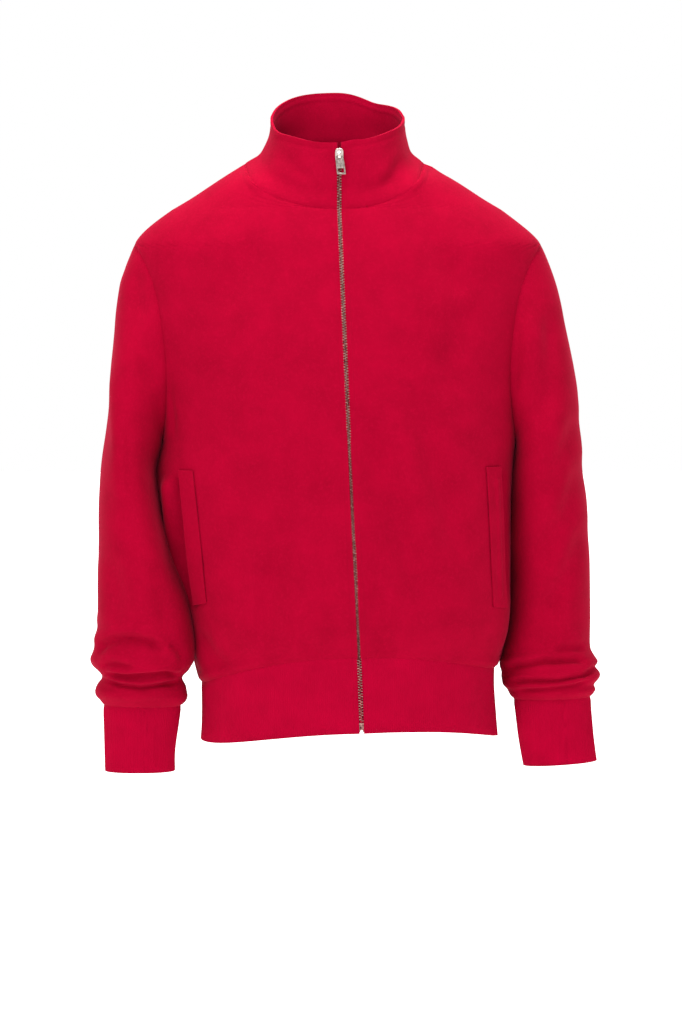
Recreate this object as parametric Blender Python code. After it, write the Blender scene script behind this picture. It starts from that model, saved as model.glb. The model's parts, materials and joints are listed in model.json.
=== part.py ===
"""A full-zip fleece sweatshirt with a stand collar, hollow and open, in the shape that it has when worn.

Metres, +Z up. The front faces -Y and +X is the wearer's left. The origin is on the shoulder line,
midway between the two sides of the neck. Tables are in millimetres.
"""

import math
from collections import namedtuple

import bmesh
import bpy
from mathutils import Matrix, Vector

MM = 0.001

# Cloth
FLEECE = 2.0 * MM  # wall of the body, sleeves and pocket welts
COLLAR_CLOTH = 3.0 * MM  # two layers of fleece, seamed at the top
RIB_CLOTH = 2.0 * MM  # knit of the cuffs and the hem band, under the ribs
RIB_RISE = 0.7 * MM
SEAM_GAP = 0.3 * MM

# Body, in millimetres of height on the wearer's centre line
SHOULDER_TIP = -107.0
UNDERARM = -345.0
BAND_SEAM = -622.5
HEM = -699.5
ARMHOLE_FRONT = 62.0  # half depth of the armhole, to the front and to the back
ARMHOLE_BACK = 66.0
ARMHOLE_ROUND = 0.85
ARMHOLE_STEPS = 9  # steps along half of an armhole

# The hem rides up at the front and hangs a little lower on the wearer's right.
SEAM_LIFT, SEAM_TILT = 30.5, 8.5
HEM_LIFT, HEM_TURN = 20.0, 0.3  # highest this far round from the front, in radians

# Neckline
NECK_FRONT, NECK_SIDE, NECK_BACK = -69.0, -11.0, 0.0
NECK_LEFT, NECK_RIGHT = 98.0, 114.0  # its half widths

# Collar's top edge
TOP_LEFT, TOP_RIGHT = 76.0, 83.5
TOP_FRONT, TOP_BACK = -88.0, 52.0
TOP_HEIGHT, TOP_DROP, TOP_CLIMB = 39.5, 31.0, 35.5  # at the sides, down to the front and up to the back
TOP_LEAN_FRONT, TOP_LEAN_BACK = 2.5, -3.5  # higher on the wearer's left at the front, lower there at the back
COLLAR_FLARE = 3.0

# Zip
ZIP_TOP_X, ZIP_HEM_X = -2.0, 24.4  # the zip runs a little to the wearer's left on its way down
ZIP_SLOT = 2.5  # half the gap between the two fronts
TAPE_NEAR, TAPE_FAR = 1.6, 14.0  # the tapes' edges, from the zip's middle
TAPE = 0.8 * MM
TAPE_GAP = 1.3 * MM
TEETH_HALF = 2.2
TEETH_PROUD = 0.4 * MM
BOX_FOOT, BOX_TOP = 1.5, 10.5  # above the hem
SLIDER_PLACE = 0.80  # share of the collar's height at the slider's middle
CHAIN_TOP = 0.855  # where the teeth meet the slider's post
SLIDER_FACE = [(-7.5, 3.0), (-5.0, 4.6), (4.0, 4.8), (7.4, 3.4)]  # (height, half width) of its plates
FACE_DEPTHS = (0.75, 1.95)
BACK_DEPTHS = (-6.7, -5.6)
POST_FOOT = 4.8
ARCH_TOP = 5.4
TAB_BAR_OUT = 3.25  # the tab's bar, out from the cloth
TAB_THICK = 1.2
TAB_COLUMNS = [-4.5, -3.2, -2.1, 2.1, 3.2, 4.5]
TAB_ROWS = [(0.65, 0.75), (-0.65, 0.85), (-4.2, 0.95), (-14.6, 1.0), (-19.4, 1.0), (-21.0, 0.95)]
TAB_WINDOWS = {(1, 2), (3, 1), (3, 2), (3, 3)}  # (row, column) of its eye and of the window at its foot
TAB_LEAN = 0.12  # the tab's foot hangs a little to the wearer's left

BodySection = namedtuple("BodySection", "height left right front back squareness")
BODY = [
    BodySection(-699, 189, 170, 118, 103, 2.4),
    BodySection(-660, 185, 167, 117, 102, 2.4),
    BodySection(-625, 185, 168, 118, 102, 2.4),
    BodySection(-612, 189, 172, 124, 107, 2.4),
    BodySection(-595, 197, 176, 129, 111, 2.4),
    BodySection(-565, 202, 179, 131, 112, 2.4),
    BodySection(-540, 203, 183.5, 131, 110, 2.4),
    BodySection(-484, 204, 201, 131, 108, 2.4),
    BodySection(-445, 204, 211, 131, 108, 2.4),
    BodySection(-414, 204, 218.5, 131, 109, 2.4),
    BodySection(-380, 205, 221.5, 130, 111, 2.35),
    BodySection(-345, 209, 214, 129, 112, 2.35),
    BodySection(-270, 217, 224, 125, 116, 2.3),
    BodySection(-200, 228, 236, 118, 116, 2.3),
    BodySection(-150, 236, 244, 109, 112, 2.2),
    BodySection(-107, 239, 247, 100, 104, 2.15),
    BodySection(-94, 227, 237, 96, 100, 2.1),
    BodySection(-84, 215, 226, 93, 97, 2.1),
    BodySection(-66, 191, 201, 87, 90, 2.0),
    BodySection(-52, 167, 177, 83, 84, 2.0),
    BodySection(-36, 143, 153, 79, 76, 2.0),
    BodySection(-22, 119, 131, 75, 68, 2.0),
    BodySection(-11, 98, 114, 72, 62, 2.0),
    BodySection(0, 84, 100, 70, 60, 2.0),
]

# Soft folds of the fronts: a line from its top to its foot, seen from the front. Troughs are negative.
Fold = namedtuple("Fold", "x_top z_top x_foot z_foot width rise")
FRONT_FOLDS = [
    Fold(28, -300, 98, -545, 20, -3.2),
    Fold(62, -330, 124, -520, 20, 2.2),
    Fold(-69, -470, -86, -590, 18, -3.6),
    Fold(-112, -440, -118, -590, 20, 2.4),
    Fold(20, -430, 52, -590, 18, -1.8),
]

# Pocket mouths, which gape a little towards the side seams
MOUTH_TOP, MOUTH_FOOT, MOUTH_FADE = -376.0, -553.0, 12.0
MOUTH_ANGLE, MOUTH_SPREAD = 74.0, 11.0
Welt = namedtuple("Welt", "side x_top z_top x_foot z_foot mouth")
WELTS = {
    "left": Welt(1, 177, -370, 186, -548, 3.5),
    "right": Welt(-1, 180, -374, 164, -532, 7.0),
}
WELT_HALF = 8.5
WELT_GAP = 0.6 * MM
WELT_ROWS, WELT_COLUMNS = 10, 3
WELT_GAPE = 1.6  # how far the free edge stands off the front

SleeveSection = namedtuple(
    "SleeveSection", "outer_x outer_z inner_x inner_z centre_y front back squareness"
)
SLEEVE_LEFT = [
    SleeveSection(239, -107, 209, -345, 2, 62, 66, 2.1),
    SleeveSection(256, -148, 211, -349, 2, 69, 71, 2.1),
    SleeveSection(265, -190, 210.8, -356, 4, 74, 76, 2.1),
    SleeveSection(274, -230, 209.5, -365, 7, 77, 79, 2.1),
    SleeveSection(282, -272, 208, -378, 10, 78, 80, 2.1),
    SleeveSection(288.5, -316, 206.8, -396, 13, 78, 80, 2.1),
    SleeveSection(293, -360, 205.8, -419, 16, 76, 78, 2.1),
    SleeveSection(296.5, -408, 205.2, -448, 18, 72, 74, 2.1),
    SleeveSection(299, -450, 205, -478, 18, 68, 70, 2.1),
    SleeveSection(301, -492, 205, -508, 18, 64, 65, 2.1),
    SleeveSection(302, -532, 205, -538, 16, 60, 60, 2.1),
    SleeveSection(302, -567, 203, -566, 13, 56, 56, 2.1),
    SleeveSection(301, -590, 198, -590, 10, 54, 54, 2.1),
    SleeveSection(304, -601, 195, -603, 8, 54, 54, 2.1),
    SleeveSection(312, -608, 192, -612, 6, 55, 55, 2.1),
    SleeveSection(303, -615, 197, -620, 4, 50, 50, 2.1),
    SleeveSection(316, -622, 194, -629, 2, 51, 51, 2.1),
    SleeveSection(311, -629, 195, -636, 0, 48, 48, 2.1),
    SleeveSection(303, -636, 202, -641, -2, 42, 42, 2.2),
    SleeveSection(308, -642, 202, -647, -4, 40, 40, 2.2),
    SleeveSection(301, -650, 208, -653, -6, 30, 30, 2.3),
]
SLEEVE_RIGHT = [
    SleeveSection(247, -107, 214, -345, 2, 62, 66, 2.1),
    SleeveSection(262, -146, 217, -349, 2, 69, 71, 2.1),
    SleeveSection(267, -188, 219, -356, 0, 74, 76, 2.1),
    SleeveSection(271, -229, 221.7, -366, -2, 77, 79, 2.1),
    SleeveSection(276, -271, 222.8, -380, -5, 78, 80, 2.1),
    SleeveSection(281, -315, 221.5, -398, -9, 78, 80, 2.1),
    SleeveSection(285, -359, 217, -420, -14, 76, 78, 2.1),
    SleeveSection(287.5, -403, 211.5, -447, -20, 73, 75, 2.1),
    SleeveSection(288.5, -441, 204.5, -472, -26, 70, 71, 2.1),
    SleeveSection(288.5, -479, 196, -501, -32, 66, 66, 2.1),
    SleeveSection(289, -517, 186.5, -530, -37, 62, 61, 2.1),
    SleeveSection(290, -550, 180, -557, -40, 58, 57, 2.1),
    SleeveSection(292, -575, 176.5, -580, -41, 56, 55, 2.1),
    SleeveSection(296, -592, 176, -596, -41, 56, 55, 2.1),
    SleeveSection(300, -602, 178, -607, -41, 56, 55, 2.1),
    SleeveSection(294, -612, 184, -616, -40, 52, 51, 2.1),
    SleeveSection(284, -622, 190, -624, -40, 45, 44, 2.1),
    SleeveSection(290, -630, 186, -631, -39, 46, 45, 2.1),
    SleeveSection(295, -639, 182, -642, -39, 46, 45, 2.1),
    SleeveSection(288, -648, 184, -651, -38, 38, 37, 2.2),
    SleeveSection(284, -656, 191, -657, -37, 31, 30, 2.3),
]
SEAM_FADE = [1.0, 0.62, 0.33, 0.14, 0.04]  # how far each first section still follows the armhole

CuffSection = SleeveSection
CUFF_LEFT = [
    CuffSection(301, -650, 208, -653, -6, 30, 30, 2.3),
    CuffSection(301.5, -672, 211, -678, -6, 29, 29, 2.3),
    CuffSection(305, -700, 215, -706, -7, 28, 28, 2.3),
    CuffSection(309, -727, 220, -733, -8, 28, 28, 2.3),
]
CUFF_RIGHT = [
    CuffSection(284, -656, 191, -657, -37, 31, 30, 2.3),
    CuffSection(283, -680, 194, -681, -37, 29, 28, 2.3),
    CuffSection(283, -710, 199, -710, -38, 28, 27, 2.3),
    CuffSection(282, -735, 198, -735, -39, 28, 27, 2.3),
]
CUFF_RIBS = 46
BAND_RIBS = 180
INNER_STEP = 4  # rib points for each point of the plain inner side of a cuff
BAND_INNER_STEP = 8

FRONT_COLUMNS = 12
BODY_ROWS = 8
SHOULDER_ROWS = [-95.0, -82.0]
NECK_STEPS = 4
BAND_ROWS = 2
COLLAR_ROWS = 5
NUDGE = 0.01  # step of the finite differences, in radians and millimetres


# ---- Materials ----


def material(name, colour, roughness, metallic=0.0):
    made = bpy.data.materials.new(name)
    made.use_nodes = True
    shader = made.node_tree.nodes["Principled BSDF"]
    shader.inputs["Base Color"].default_value = (*colour, 1.0)
    shader.inputs["Roughness"].default_value = roughness
    shader.inputs["Metallic"].default_value = metallic
    return made


# ---- Walls ----


def link(name, bm, finish):
    """A smooth-shaded object from a bmesh whose faces are turned outwards."""
    bmesh.ops.remove_doubles(bm, verts=bm.verts, dist=1e-7)
    bmesh.ops.dissolve_degenerate(bm, dist=1e-7, edges=bm.edges)
    bmesh.ops.recalc_face_normals(bm, faces=bm.faces)
    mesh = bpy.data.meshes.new(name)
    bm.to_mesh(mesh)
    bm.free()
    mesh.shade_smooth()
    mesh.set_sharp_from_angle(angle=math.radians(50))
    mesh.materials.append(finish)
    made = bpy.data.objects.new(name, mesh)
    bpy.context.scene.collection.objects.link(made)
    return made


def wall(name, outer, inner, finish, closed=False):
    """A closed cloth wall between two grids of points, row by row.

    The outer grid may be finer along its rows than the inner one, by a whole number of steps.
    """
    bm = bmesh.new()
    sides = [[[bm.verts.new(p) for p in row] for row in grid] for grid in (outer, inner)]
    for grid in sides:
        for low, high in zip(grid, grid[1:]):
            columns = len(low) if closed else len(low) - 1
            for i in range(columns):
                j = (i + 1) % len(low)
                bm.faces.new((low[i], low[j], high[j], high[i]))
    top, foot = (sides[0][-1], sides[1][-1]), (sides[0][0], sides[1][0])
    for fine, plain in (top, foot):
        spans = len(plain) if closed else len(plain) - 1
        step = (len(fine) if closed else len(fine) - 1) // spans
        for i in range(spans):
            edge = [fine[(i * step + k) % len(fine)] for k in range(step + 1)]
            bm.faces.new((*edge, plain[(i + 1) % len(plain)], plain[i]))
    if not closed:
        for i in (0, -1):
            for k in range(len(outer) - 1):
                a, b = sides[0][k][i], sides[0][k + 1][i]
                c, d = sides[1][k + 1][i], sides[1][k][i]
                bm.faces.new((a, b, c, d))
    return link(name, bm, finish)


def inset_edges(grid, sides):
    """Moves the named edges of a grid of points inwards by half the seam gap."""
    moved = [list(row) for row in grid]
    half = SEAM_GAP / 2
    last, end = len(grid) - 1, len(grid[0]) - 1
    for k, row in enumerate(grid):
        if "start" in sides:
            moved[k][0] = moved[k][0] + (row[1] - row[0]).normalized() * half
        if "end" in sides:
            step = row[end - 1] - row[end]
            if step.length < 1e-6:  # a row that has narrowed to the neck's side
                step = grid[k - 1][end - 1] - grid[k - 1][end]
            moved[k][end] = moved[k][end] + step.normalized() * half
            if (row[end - 1] - row[end]).length < 1e-6:
                moved[k] = [moved[k][end]] * len(row)
    for i in range(len(grid[0])):
        if "foot" in sides:
            moved[0][i] = moved[0][i] + (grid[1][i] - grid[0][i]).normalized() * half
        if "top" in sides:
            moved[last][i] = moved[last][i] + (grid[last - 1][i] - grid[last][i]).normalized() * half
    return moved


def offset(grid, normals, depth):
    return [[p - n * depth for p, n in zip(row, lines)] for row, lines in zip(grid, normals)]


def tube_normals(rings):
    """Outward normals of a tube of rings, from each point's neighbours."""
    normals = []
    for k, ring in enumerate(rings):
        low, high = rings[max(k - 1, 0)], rings[min(k + 1, len(rings) - 1)]
        count = len(ring)
        middle = sum(ring, Vector()) / count
        lines = []
        for i, point in enumerate(ring):
            around = ring[(i + 1) % count] - ring[i - 1]
            lines.append(around.cross(high[i] - low[i]).normalized())
        outwards = sum(line.dot(point - middle) for line, point in zip(lines, ring))
        normals.append(lines if outwards > 0 else [-line for line in lines])
    return normals


def seam_normal(one, other):
    """The direction that two walls share at their seam, as long as both walls need it to be."""
    shared = (one + other).normalized()
    return shared / max(shared.dot(one), 0.6)


# ---- Body surface ----


def interpolate(rows, at):
    """The values of a table at this first value, on a smooth curve through its rows."""
    at = min(max(at, rows[0][0]), rows[-1][0])
    i = max(k for k in range(len(rows) - 1) if rows[k][0] <= at)
    low, high = rows[i], rows[i + 1]
    before, after = rows[max(i - 1, 0)], rows[min(i + 2, len(rows) - 1)]
    span = high[0] - low[0]
    t = (at - low[0]) / span
    values = []
    for k in range(1, len(low)):
        start = (high[k] - before[k]) / (high[0] - before[0]) * span
        stop = (after[k] - low[k]) / (after[0] - low[0]) * span
        values.append(
            (2 * t**3 - 3 * t**2 + 1) * low[k]
            + (t**3 - 2 * t**2 + t) * start
            + (3 * t**2 - 2 * t**3) * high[k]
            + (t**3 - t**2) * stop
        )
    return values


def smooth(t):
    t = min(max(t, 0.0), 1.0)
    return t * t * (3 - 2 * t)


def signed_power(value, power):
    return math.copysign(abs(value) ** power, value)


def lift_at(angle, height):
    """How far the cloth is raised at this angle from the front, for a nominal height."""
    front = max(math.cos(angle), 0.0) ** 2
    side = math.sin(angle)
    seam = SEAM_LIFT * front + SEAM_TILT * side
    hem = HEM_LIFT * max(math.cos(angle - HEM_TURN), 0.0) ** 2
    if height >= BAND_SEAM:
        return seam * smooth((UNDERARM - height) / (UNDERARM - BAND_SEAM))
    t = (BAND_SEAM - height) / (BAND_SEAM - HEM)
    return seam + (hem - seam) * t


def fold_rise(x, height):
    """The sum of the soft folds at a place on the front."""
    rise = 0.0
    for fold in FRONT_FOLDS:
        dx, dz = fold.x_foot - fold.x_top, fold.z_foot - fold.z_top
        length = math.hypot(dx, dz)
        along = ((x - fold.x_top) * dx + (height - fold.z_top) * dz) / length**2
        across = ((x - fold.x_top) * dz - (height - fold.z_top) * dx) / length
        ends = smooth(along * 3) * smooth((1 - along) * 3)
        rise += fold.rise * ends * math.exp(-((across / fold.width) ** 2))
    return rise


def mouth_depth(angle, height):
    """How far a front is pushed in behind its pocket welt."""
    welt = WELTS["left"] if angle > 0 else WELTS["right"]
    across = (math.degrees(abs(angle)) - MOUTH_ANGLE) / MOUTH_SPREAD
    along = smooth((MOUTH_TOP - height) / MOUTH_FADE) * smooth((height - MOUTH_FOOT) / (6 * MOUTH_FADE))
    return welt.mouth * along * math.exp(-(across**2)) if abs(across) < 3 else 0.0


def body(angle, height):
    """A point of the body's outer surface, in metres: the angle runs from the front to the wearer's left."""
    left, right, front, back, squareness = interpolate(BODY, height)
    across = signed_power(math.sin(angle), 2 / squareness)
    along = signed_power(math.cos(angle), 2 / squareness)
    x = across * (left if across > 0 else right)
    y = -along * (front if along > 0 else back)
    if along > 0:
        fade = smooth(along * 2)
        y -= fold_rise(x, height) * fade
        dent = mouth_depth(angle, height) * smooth(along * 5)
        x -= math.copysign(dent * 0.8, x)
        y += dent * 0.5
    return Vector((x, y, height + lift_at(angle, height))) * MM


def body_normal(angle, height):
    around = body(angle + NUDGE, height) - body(angle - NUDGE, height)
    up = body(angle, height + 1) - body(angle, height - 1)
    return around.cross(up).normalized()


def angle_at_x(x, height):
    """The angle, on the front, of the surface point this far from the centre line."""
    left, right, _, _, squareness = interpolate(BODY, height)
    share = min(abs(x) / (left if x > 0 else right), 1.0)
    return math.copysign(math.asin(share ** (squareness / 2)), x)


def angle_at_depth(y, height, side):
    """The angle on one side of the surface point this far in front of the side seam, or behind it."""
    _, _, front, back, squareness = interpolate(BODY, height)
    share = min(abs(y) / (front if y < 0 else back), 1.0)
    turn = math.acos(share ** (squareness / 2))
    return side * (turn if y < 0 else math.pi - turn)


def zip_x(height):
    """The zip's distance from the centre line."""
    t = (NECK_FRONT - height) / (NECK_FRONT - HEM)
    return ZIP_TOP_X + (ZIP_HEM_X - ZIP_TOP_X) * max(t, 0.0)


def armhole(turn):
    """(height, half depth) on the armhole: turn is 0 at the shoulder tip and pi under the arm."""
    middle, half = (SHOULDER_TIP + UNDERARM) / 2, (SHOULDER_TIP - UNDERARM) / 2
    return middle + half * math.cos(turn), max(math.sin(turn), 0.0) ** ARMHOLE_ROUND


def armhole_turns():
    """The turns of the armhole's points, from under the arm to the shoulder tip."""
    return [math.pi * (1 - k / ARMHOLE_STEPS) for k in range(ARMHOLE_STEPS + 1)]


def neckline(turn):
    """(x, height) on the neckline: turn is 0 at the front, pi / 2 at the wearer's left side, pi at the back."""
    half = NECK_LEFT if math.sin(turn) > 0 else NECK_RIGHT
    depth = NECK_FRONT - NECK_SIDE if math.cos(turn) > 0 else NECK_SIDE - NECK_BACK
    rise = abs(math.cos(turn)) if math.cos(turn) > 0 else -(math.cos(turn) ** 2)
    return half * math.sin(turn), NECK_SIDE + depth * rise


def neckline_angle(turn):
    x, height = neckline(turn)
    angle = angle_at_x(x, height)
    return angle if math.cos(turn) > 0 else math.copysign(math.pi, x) - angle


# ---- Body panels ----


def panel_rows():
    """(kind, value) of each row of a panel, from the band seam to the neck's side."""
    drop = (UNDERARM - BAND_SEAM) / BODY_ROWS
    rows = [("body", BAND_SEAM + drop * k) for k in range(BODY_ROWS)]
    rows += [("armhole", turn) for turn in armhole_turns()]
    rows += [("shoulder", height) for height in SHOULDER_ROWS]
    rows += [("neck", math.pi / 2 * k / NECK_STEPS) for k in range(NECK_STEPS + 1)]
    return rows


def row_heights():
    heights = []
    for kind, value in panel_rows():
        if kind == "armhole":
            heights.append(armhole(value)[0])
        elif kind == "neck":
            heights.append(neckline(value)[1])
        else:
            heights.append(value)
    return heights


def front_grid(side):
    """(angle, height) of each point of one front, from the zip to the side."""
    grid = []
    for (kind, value), height in zip(panel_rows(), row_heights()):
        near = angle_at_x(zip_x(height) + side * ZIP_SLOT, height)
        far = side * math.pi / 2
        if kind == "armhole":
            far = angle_at_depth(-ARMHOLE_FRONT * armhole(value)[1], height, side)
        elif kind == "neck" and value > 0:
            near = neckline_angle(side * value)
        grid.append(
            [(near + (far - near) * i / FRONT_COLUMNS, height) for i in range(FRONT_COLUMNS + 1)]
        )
    return grid


def back_half_grid(side):
    """(angle, height) of each point of half the back, from the side to the centre."""
    grid = []
    for (kind, value), height in zip(panel_rows(), row_heights()):
        far = math.pi / 2
        if kind == "armhole":
            far = abs(angle_at_depth(ARMHOLE_BACK * armhole(value)[1], height, side))
        shares = [i / FRONT_COLUMNS for i in range(FRONT_COLUMNS + 1)]
        if kind == "neck" and value == math.pi / 2:
            turns = [side * (value + (math.pi - value) * share) for share in shares]
            grid.append([(side * abs(neckline_angle(t)), neckline(t)[1]) for t in turns])
        else:
            grid.append([(side * (far + (math.pi - far) * share), height) for share in shares])
    return grid


def panel_wall(name, grid, seams, sides, finish):
    """A body panel: seams gives the armhole's shared normals for its first or last column."""
    points = [[body(a, h) for a, h in row] for row in grid]
    normals = [[body_normal(a, h) for a, h in row] for row in grid]
    for column, shared in seams.items():
        for k, line in enumerate(shared):
            normals[BODY_ROWS + k][column] = line
    points = inset_edges(points, sides)
    return wall(name, points, offset(points, normals, FLEECE), finish)


def make_fronts(seams, finish):
    for name, side in (("front_left", 1), ("front_right", -1)):
        shared = [seams[side][ARMHOLE_STEPS - k] for k in range(ARMHOLE_STEPS + 1)]
        panel_wall(name, front_grid(side), {-1: shared}, ("end", "foot"), finish)


def make_back(seams, finish):
    left, right = back_half_grid(1), back_half_grid(-1)
    whole = [a + [(b[0] + 2 * math.pi, b[1]) for b in c[-2::-1]] for a, c in zip(left, right)]
    steps = 2 * ARMHOLE_STEPS
    shared = {
        column: [seams[side][(ARMHOLE_STEPS + k) % steps] for k in range(ARMHOLE_STEPS + 1)]
        for column, side in ((0, 1), (-1, -1))
    }
    panel_wall("back", whole, shared, ("start", "end", "foot"), finish)


# ---- Collar ----


def collar(turn, t):
    """A point of the collar's outer surface: t runs from the neckline to the top edge."""
    x, height = neckline(turn)
    angle = neckline_angle(turn)
    base = body(angle, height)
    top_x = (TOP_LEFT if math.sin(turn) > 0 else TOP_RIGHT) * signed_power(math.sin(turn), 0.95)
    middle, half = (TOP_FRONT + TOP_BACK) / 2, (TOP_BACK - TOP_FRONT) / 2
    top_y = middle - half * signed_power(math.cos(turn), 0.95)
    slope = TOP_DROP if math.cos(turn) > 0 else TOP_CLIMB
    lean = TOP_LEAN_FRONT if math.cos(turn) > 0 else TOP_LEAN_BACK
    rise = lean * math.sin(turn) * abs(math.cos(turn)) * 2 - slope * math.cos(turn)
    top = Vector((top_x, top_y, TOP_HEIGHT + rise)) * MM
    inwards = 1 - (1 - t) ** COLLAR_FLARE
    point = base.lerp(top, inwards)
    point.z = base.z + (top.z - base.z) * t
    return point


def collar_normal(turn, t):
    """The wall's direction: the body's at the neckline, and level further up."""
    around = collar(turn + NUDGE, t) - collar(turn - NUDGE, t)
    level = Vector((around.y, -around.x, 0)).normalized()
    base = body_normal(neckline_angle(turn), neckline(turn)[1])
    return base.lerp(level, smooth(t * 2.5)).normalized()


def collar_turn_at_x(x, t):
    """The turn, at the front, of the collar's point this far from the centre line."""
    low, high = -math.pi / 2, math.pi / 2
    for _ in range(40):
        middle = (low + high) / 2
        low, high = (middle, high) if collar(middle, t).x < x * MM else (low, middle)
    return (low + high) / 2


def make_collar(finish):
    rows, normals = [], []
    for k in range(COLLAR_ROWS + 1):
        t = k / COLLAR_ROWS
        start = collar_turn_at_x(zip_x(NECK_FRONT) + ZIP_SLOT, t)
        end = 2 * math.pi + collar_turn_at_x(zip_x(NECK_FRONT) - ZIP_SLOT, t)
        turns = collar_turns(start, end)
        rows.append([collar(turn, t) for turn in turns])
        normals.append([collar_normal(turn, t) for turn in turns])
    rows = inset_edges(rows, ("foot",))
    for row in rows:
        for point in row:
            point.z += SEAM_GAP / 2
    wall("collar", rows, offset(rows, normals, COLLAR_CLOTH), finish)


def collar_turns(start, end):
    """Turns round the collar, which share the necklines' own points at the fronts."""
    side = [math.pi / 2 * k / NECK_STEPS for k in range(1, NECK_STEPS + 1)]
    back = [math.pi / 2 + math.pi * k / (2 * FRONT_COLUMNS) for k in range(1, 2 * FRONT_COLUMNS)]
    return [start, *side, *back, *[2 * math.pi - turn for turn in reversed(side)], end]


# ---- Hem band ----


def make_band(finish):
    plain = BAND_RIBS * 2 // BAND_INNER_STEP
    outer, inner = [], []
    for k in range(BAND_ROWS + 1):
        height = HEM + (BAND_SEAM - HEM) * k / BAND_ROWS
        start = angle_at_x(zip_x(height) + ZIP_SLOT, height)
        end = 2 * math.pi + angle_at_x(zip_x(height) - ZIP_SLOT, height)
        ribbed, smooth_side = [], []
        for i in range(2 * BAND_RIBS + 1):
            angle = start + (end - start) * i / (2 * BAND_RIBS)
            sunk = RIB_RISE if i % 2 else 0.0
            ribbed.append(body(angle, height) - body_normal(angle, height) * sunk)
        for i in range(plain + 1):
            angle = start + (end - start) * i / plain
            depth = RIB_CLOTH + RIB_RISE
            smooth_side.append(body(angle, height) - body_normal(angle, height) * depth)
        outer.append(ribbed)
        inner.append(smooth_side)
    for grid in (outer, inner):
        for point in grid[-1]:
            point.z -= SEAM_GAP * 2
    wall("hem_band", outer, inner, finish)


# ---- Sleeves and cuffs ----


def ring_point(row, turn, side):
    """A point of a tube's section: turn is 0 at its outer side, and its front is at pi / 2."""
    power = 2 / row.squareness
    share = signed_power(math.cos(turn), power)
    x = (row.outer_x + row.inner_x) / 2 + (row.outer_x - row.inner_x) / 2 * share
    z = (row.outer_z + row.inner_z) / 2 + (row.outer_z - row.inner_z) / 2 * share
    depth = signed_power(math.sin(turn), power)
    y = row.centre_y - depth * (row.front if depth > 0 else row.back)
    return Vector((side * x, y, z)) * MM


def ring_normal(row, turn, side):
    """The outward direction of a section's point, in the section's own plane."""
    along = ring_point(row, turn + NUDGE, side) - ring_point(row, turn - NUDGE, side)
    across = ring_point(row, 0, side) - ring_point(row, math.pi, side)
    plane = across.cross(Vector((0, 1, 0))).normalized()
    normal = along.cross(plane).normalized()
    outwards = ring_point(row, turn, side) - ring_point(row, turn + math.pi, side)
    return normal if normal.dot(outwards) > 0 else -normal


def armhole_point(turn, side):
    """(angle, height) on the body of the armhole's point at this turn of the sleeve's first section."""
    height, depth = armhole(turn if turn <= math.pi else 2 * math.pi - turn)
    y = -ARMHOLE_FRONT * depth if turn <= math.pi else ARMHOLE_BACK * depth
    if depth < 1e-6:
        return side * math.pi / 2, height
    return angle_at_depth(y, height, side), height


def sleeve_rings(rows, side):
    """The sleeve's outer points, whose first ring lies on the armhole."""
    turns = [math.pi * k / ARMHOLE_STEPS for k in range(2 * ARMHOLE_STEPS)]
    seam = [body(*armhole_point(turn, side)) for turn in turns]
    shift = [p - ring_point(rows[0], turn, side) for p, turn in zip(seam, turns)]
    rings = []
    for k, row in enumerate(rows):
        follow = SEAM_FADE[k] if k < len(SEAM_FADE) else 0.0
        rings.append([ring_point(row, t, side) + s * follow for t, s in zip(turns, shift)])
    return rings


def armhole_seam(rows, side):
    """The directions that the sleeve's wall and the body's share round the armhole."""
    turns = [math.pi * k / ARMHOLE_STEPS for k in range(2 * ARMHOLE_STEPS)]
    lines = tube_normals(sleeve_rings(rows, side))[0]
    return [seam_normal(line, body_normal(*armhole_point(t, side))) for line, t in zip(lines, turns)]


def make_sleeve(name, rows, side, seam, finish):
    rings = sleeve_rings(rows, side)
    normals = tube_normals(rings)
    normals[0] = seam
    rings = inset_edges(rings, ("foot", "top"))
    wall(name, rings, offset(rings, normals, FLEECE), finish, closed=True)


def make_cuff(name, rows, side, finish):
    outer, inner = [], []
    for k, row in enumerate(rows):
        drop = Vector((0, 0, -SEAM_GAP * (k == 0)))
        turns = [math.pi * i / CUFF_RIBS for i in range(2 * CUFF_RIBS)]
        outer.append(
            [
                ring_point(row, turn, side) - ring_normal(row, turn, side) * RIB_RISE * (i % 2) + drop
                for i, turn in enumerate(turns)
            ]
        )
        depth = RIB_CLOTH + RIB_RISE
        plain = turns[::INNER_STEP]
        inner.append([ring_point(row, t, side) - ring_normal(row, t, side) * depth + drop for t in plain])
    wall(name, outer, inner, finish, closed=True)


# ---- Pocket welts ----


def welt_point(welt, across, height, lift):
    """A point over a front: across runs from the welt's inner edge, 0, to the mouth, 1."""
    t = (welt.z_top - height) / (welt.z_top - welt.z_foot)
    x = welt.x_top + (welt.x_foot - welt.x_top) * t + WELT_HALF * (2 * across - 1)
    angle = angle_at_x(welt.side * x, height)
    return body(angle, height) + body_normal(angle, height) * lift


def make_welt(name, welt, finish):
    outer, inner = [], []
    for k in range(WELT_ROWS + 1):
        height = welt.z_foot + (welt.z_top - welt.z_foot) * k / WELT_ROWS
        ends = 4 * (k / WELT_ROWS) * (1 - k / WELT_ROWS)
        under, over = [], []
        for i in range(WELT_COLUMNS + 1):
            across = i / WELT_COLUMNS
            rise = WELT_GAP + WELT_GAPE * MM * across**2 * (0.4 + 0.6 * ends)
            under.append(welt_point(welt, across, height, rise))
            over.append(welt_point(welt, across, height, rise + FLEECE))
        inner.append(under)
        outer.append(over)
    wall(name, outer, inner, finish)


# ---- Zip ----


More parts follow.
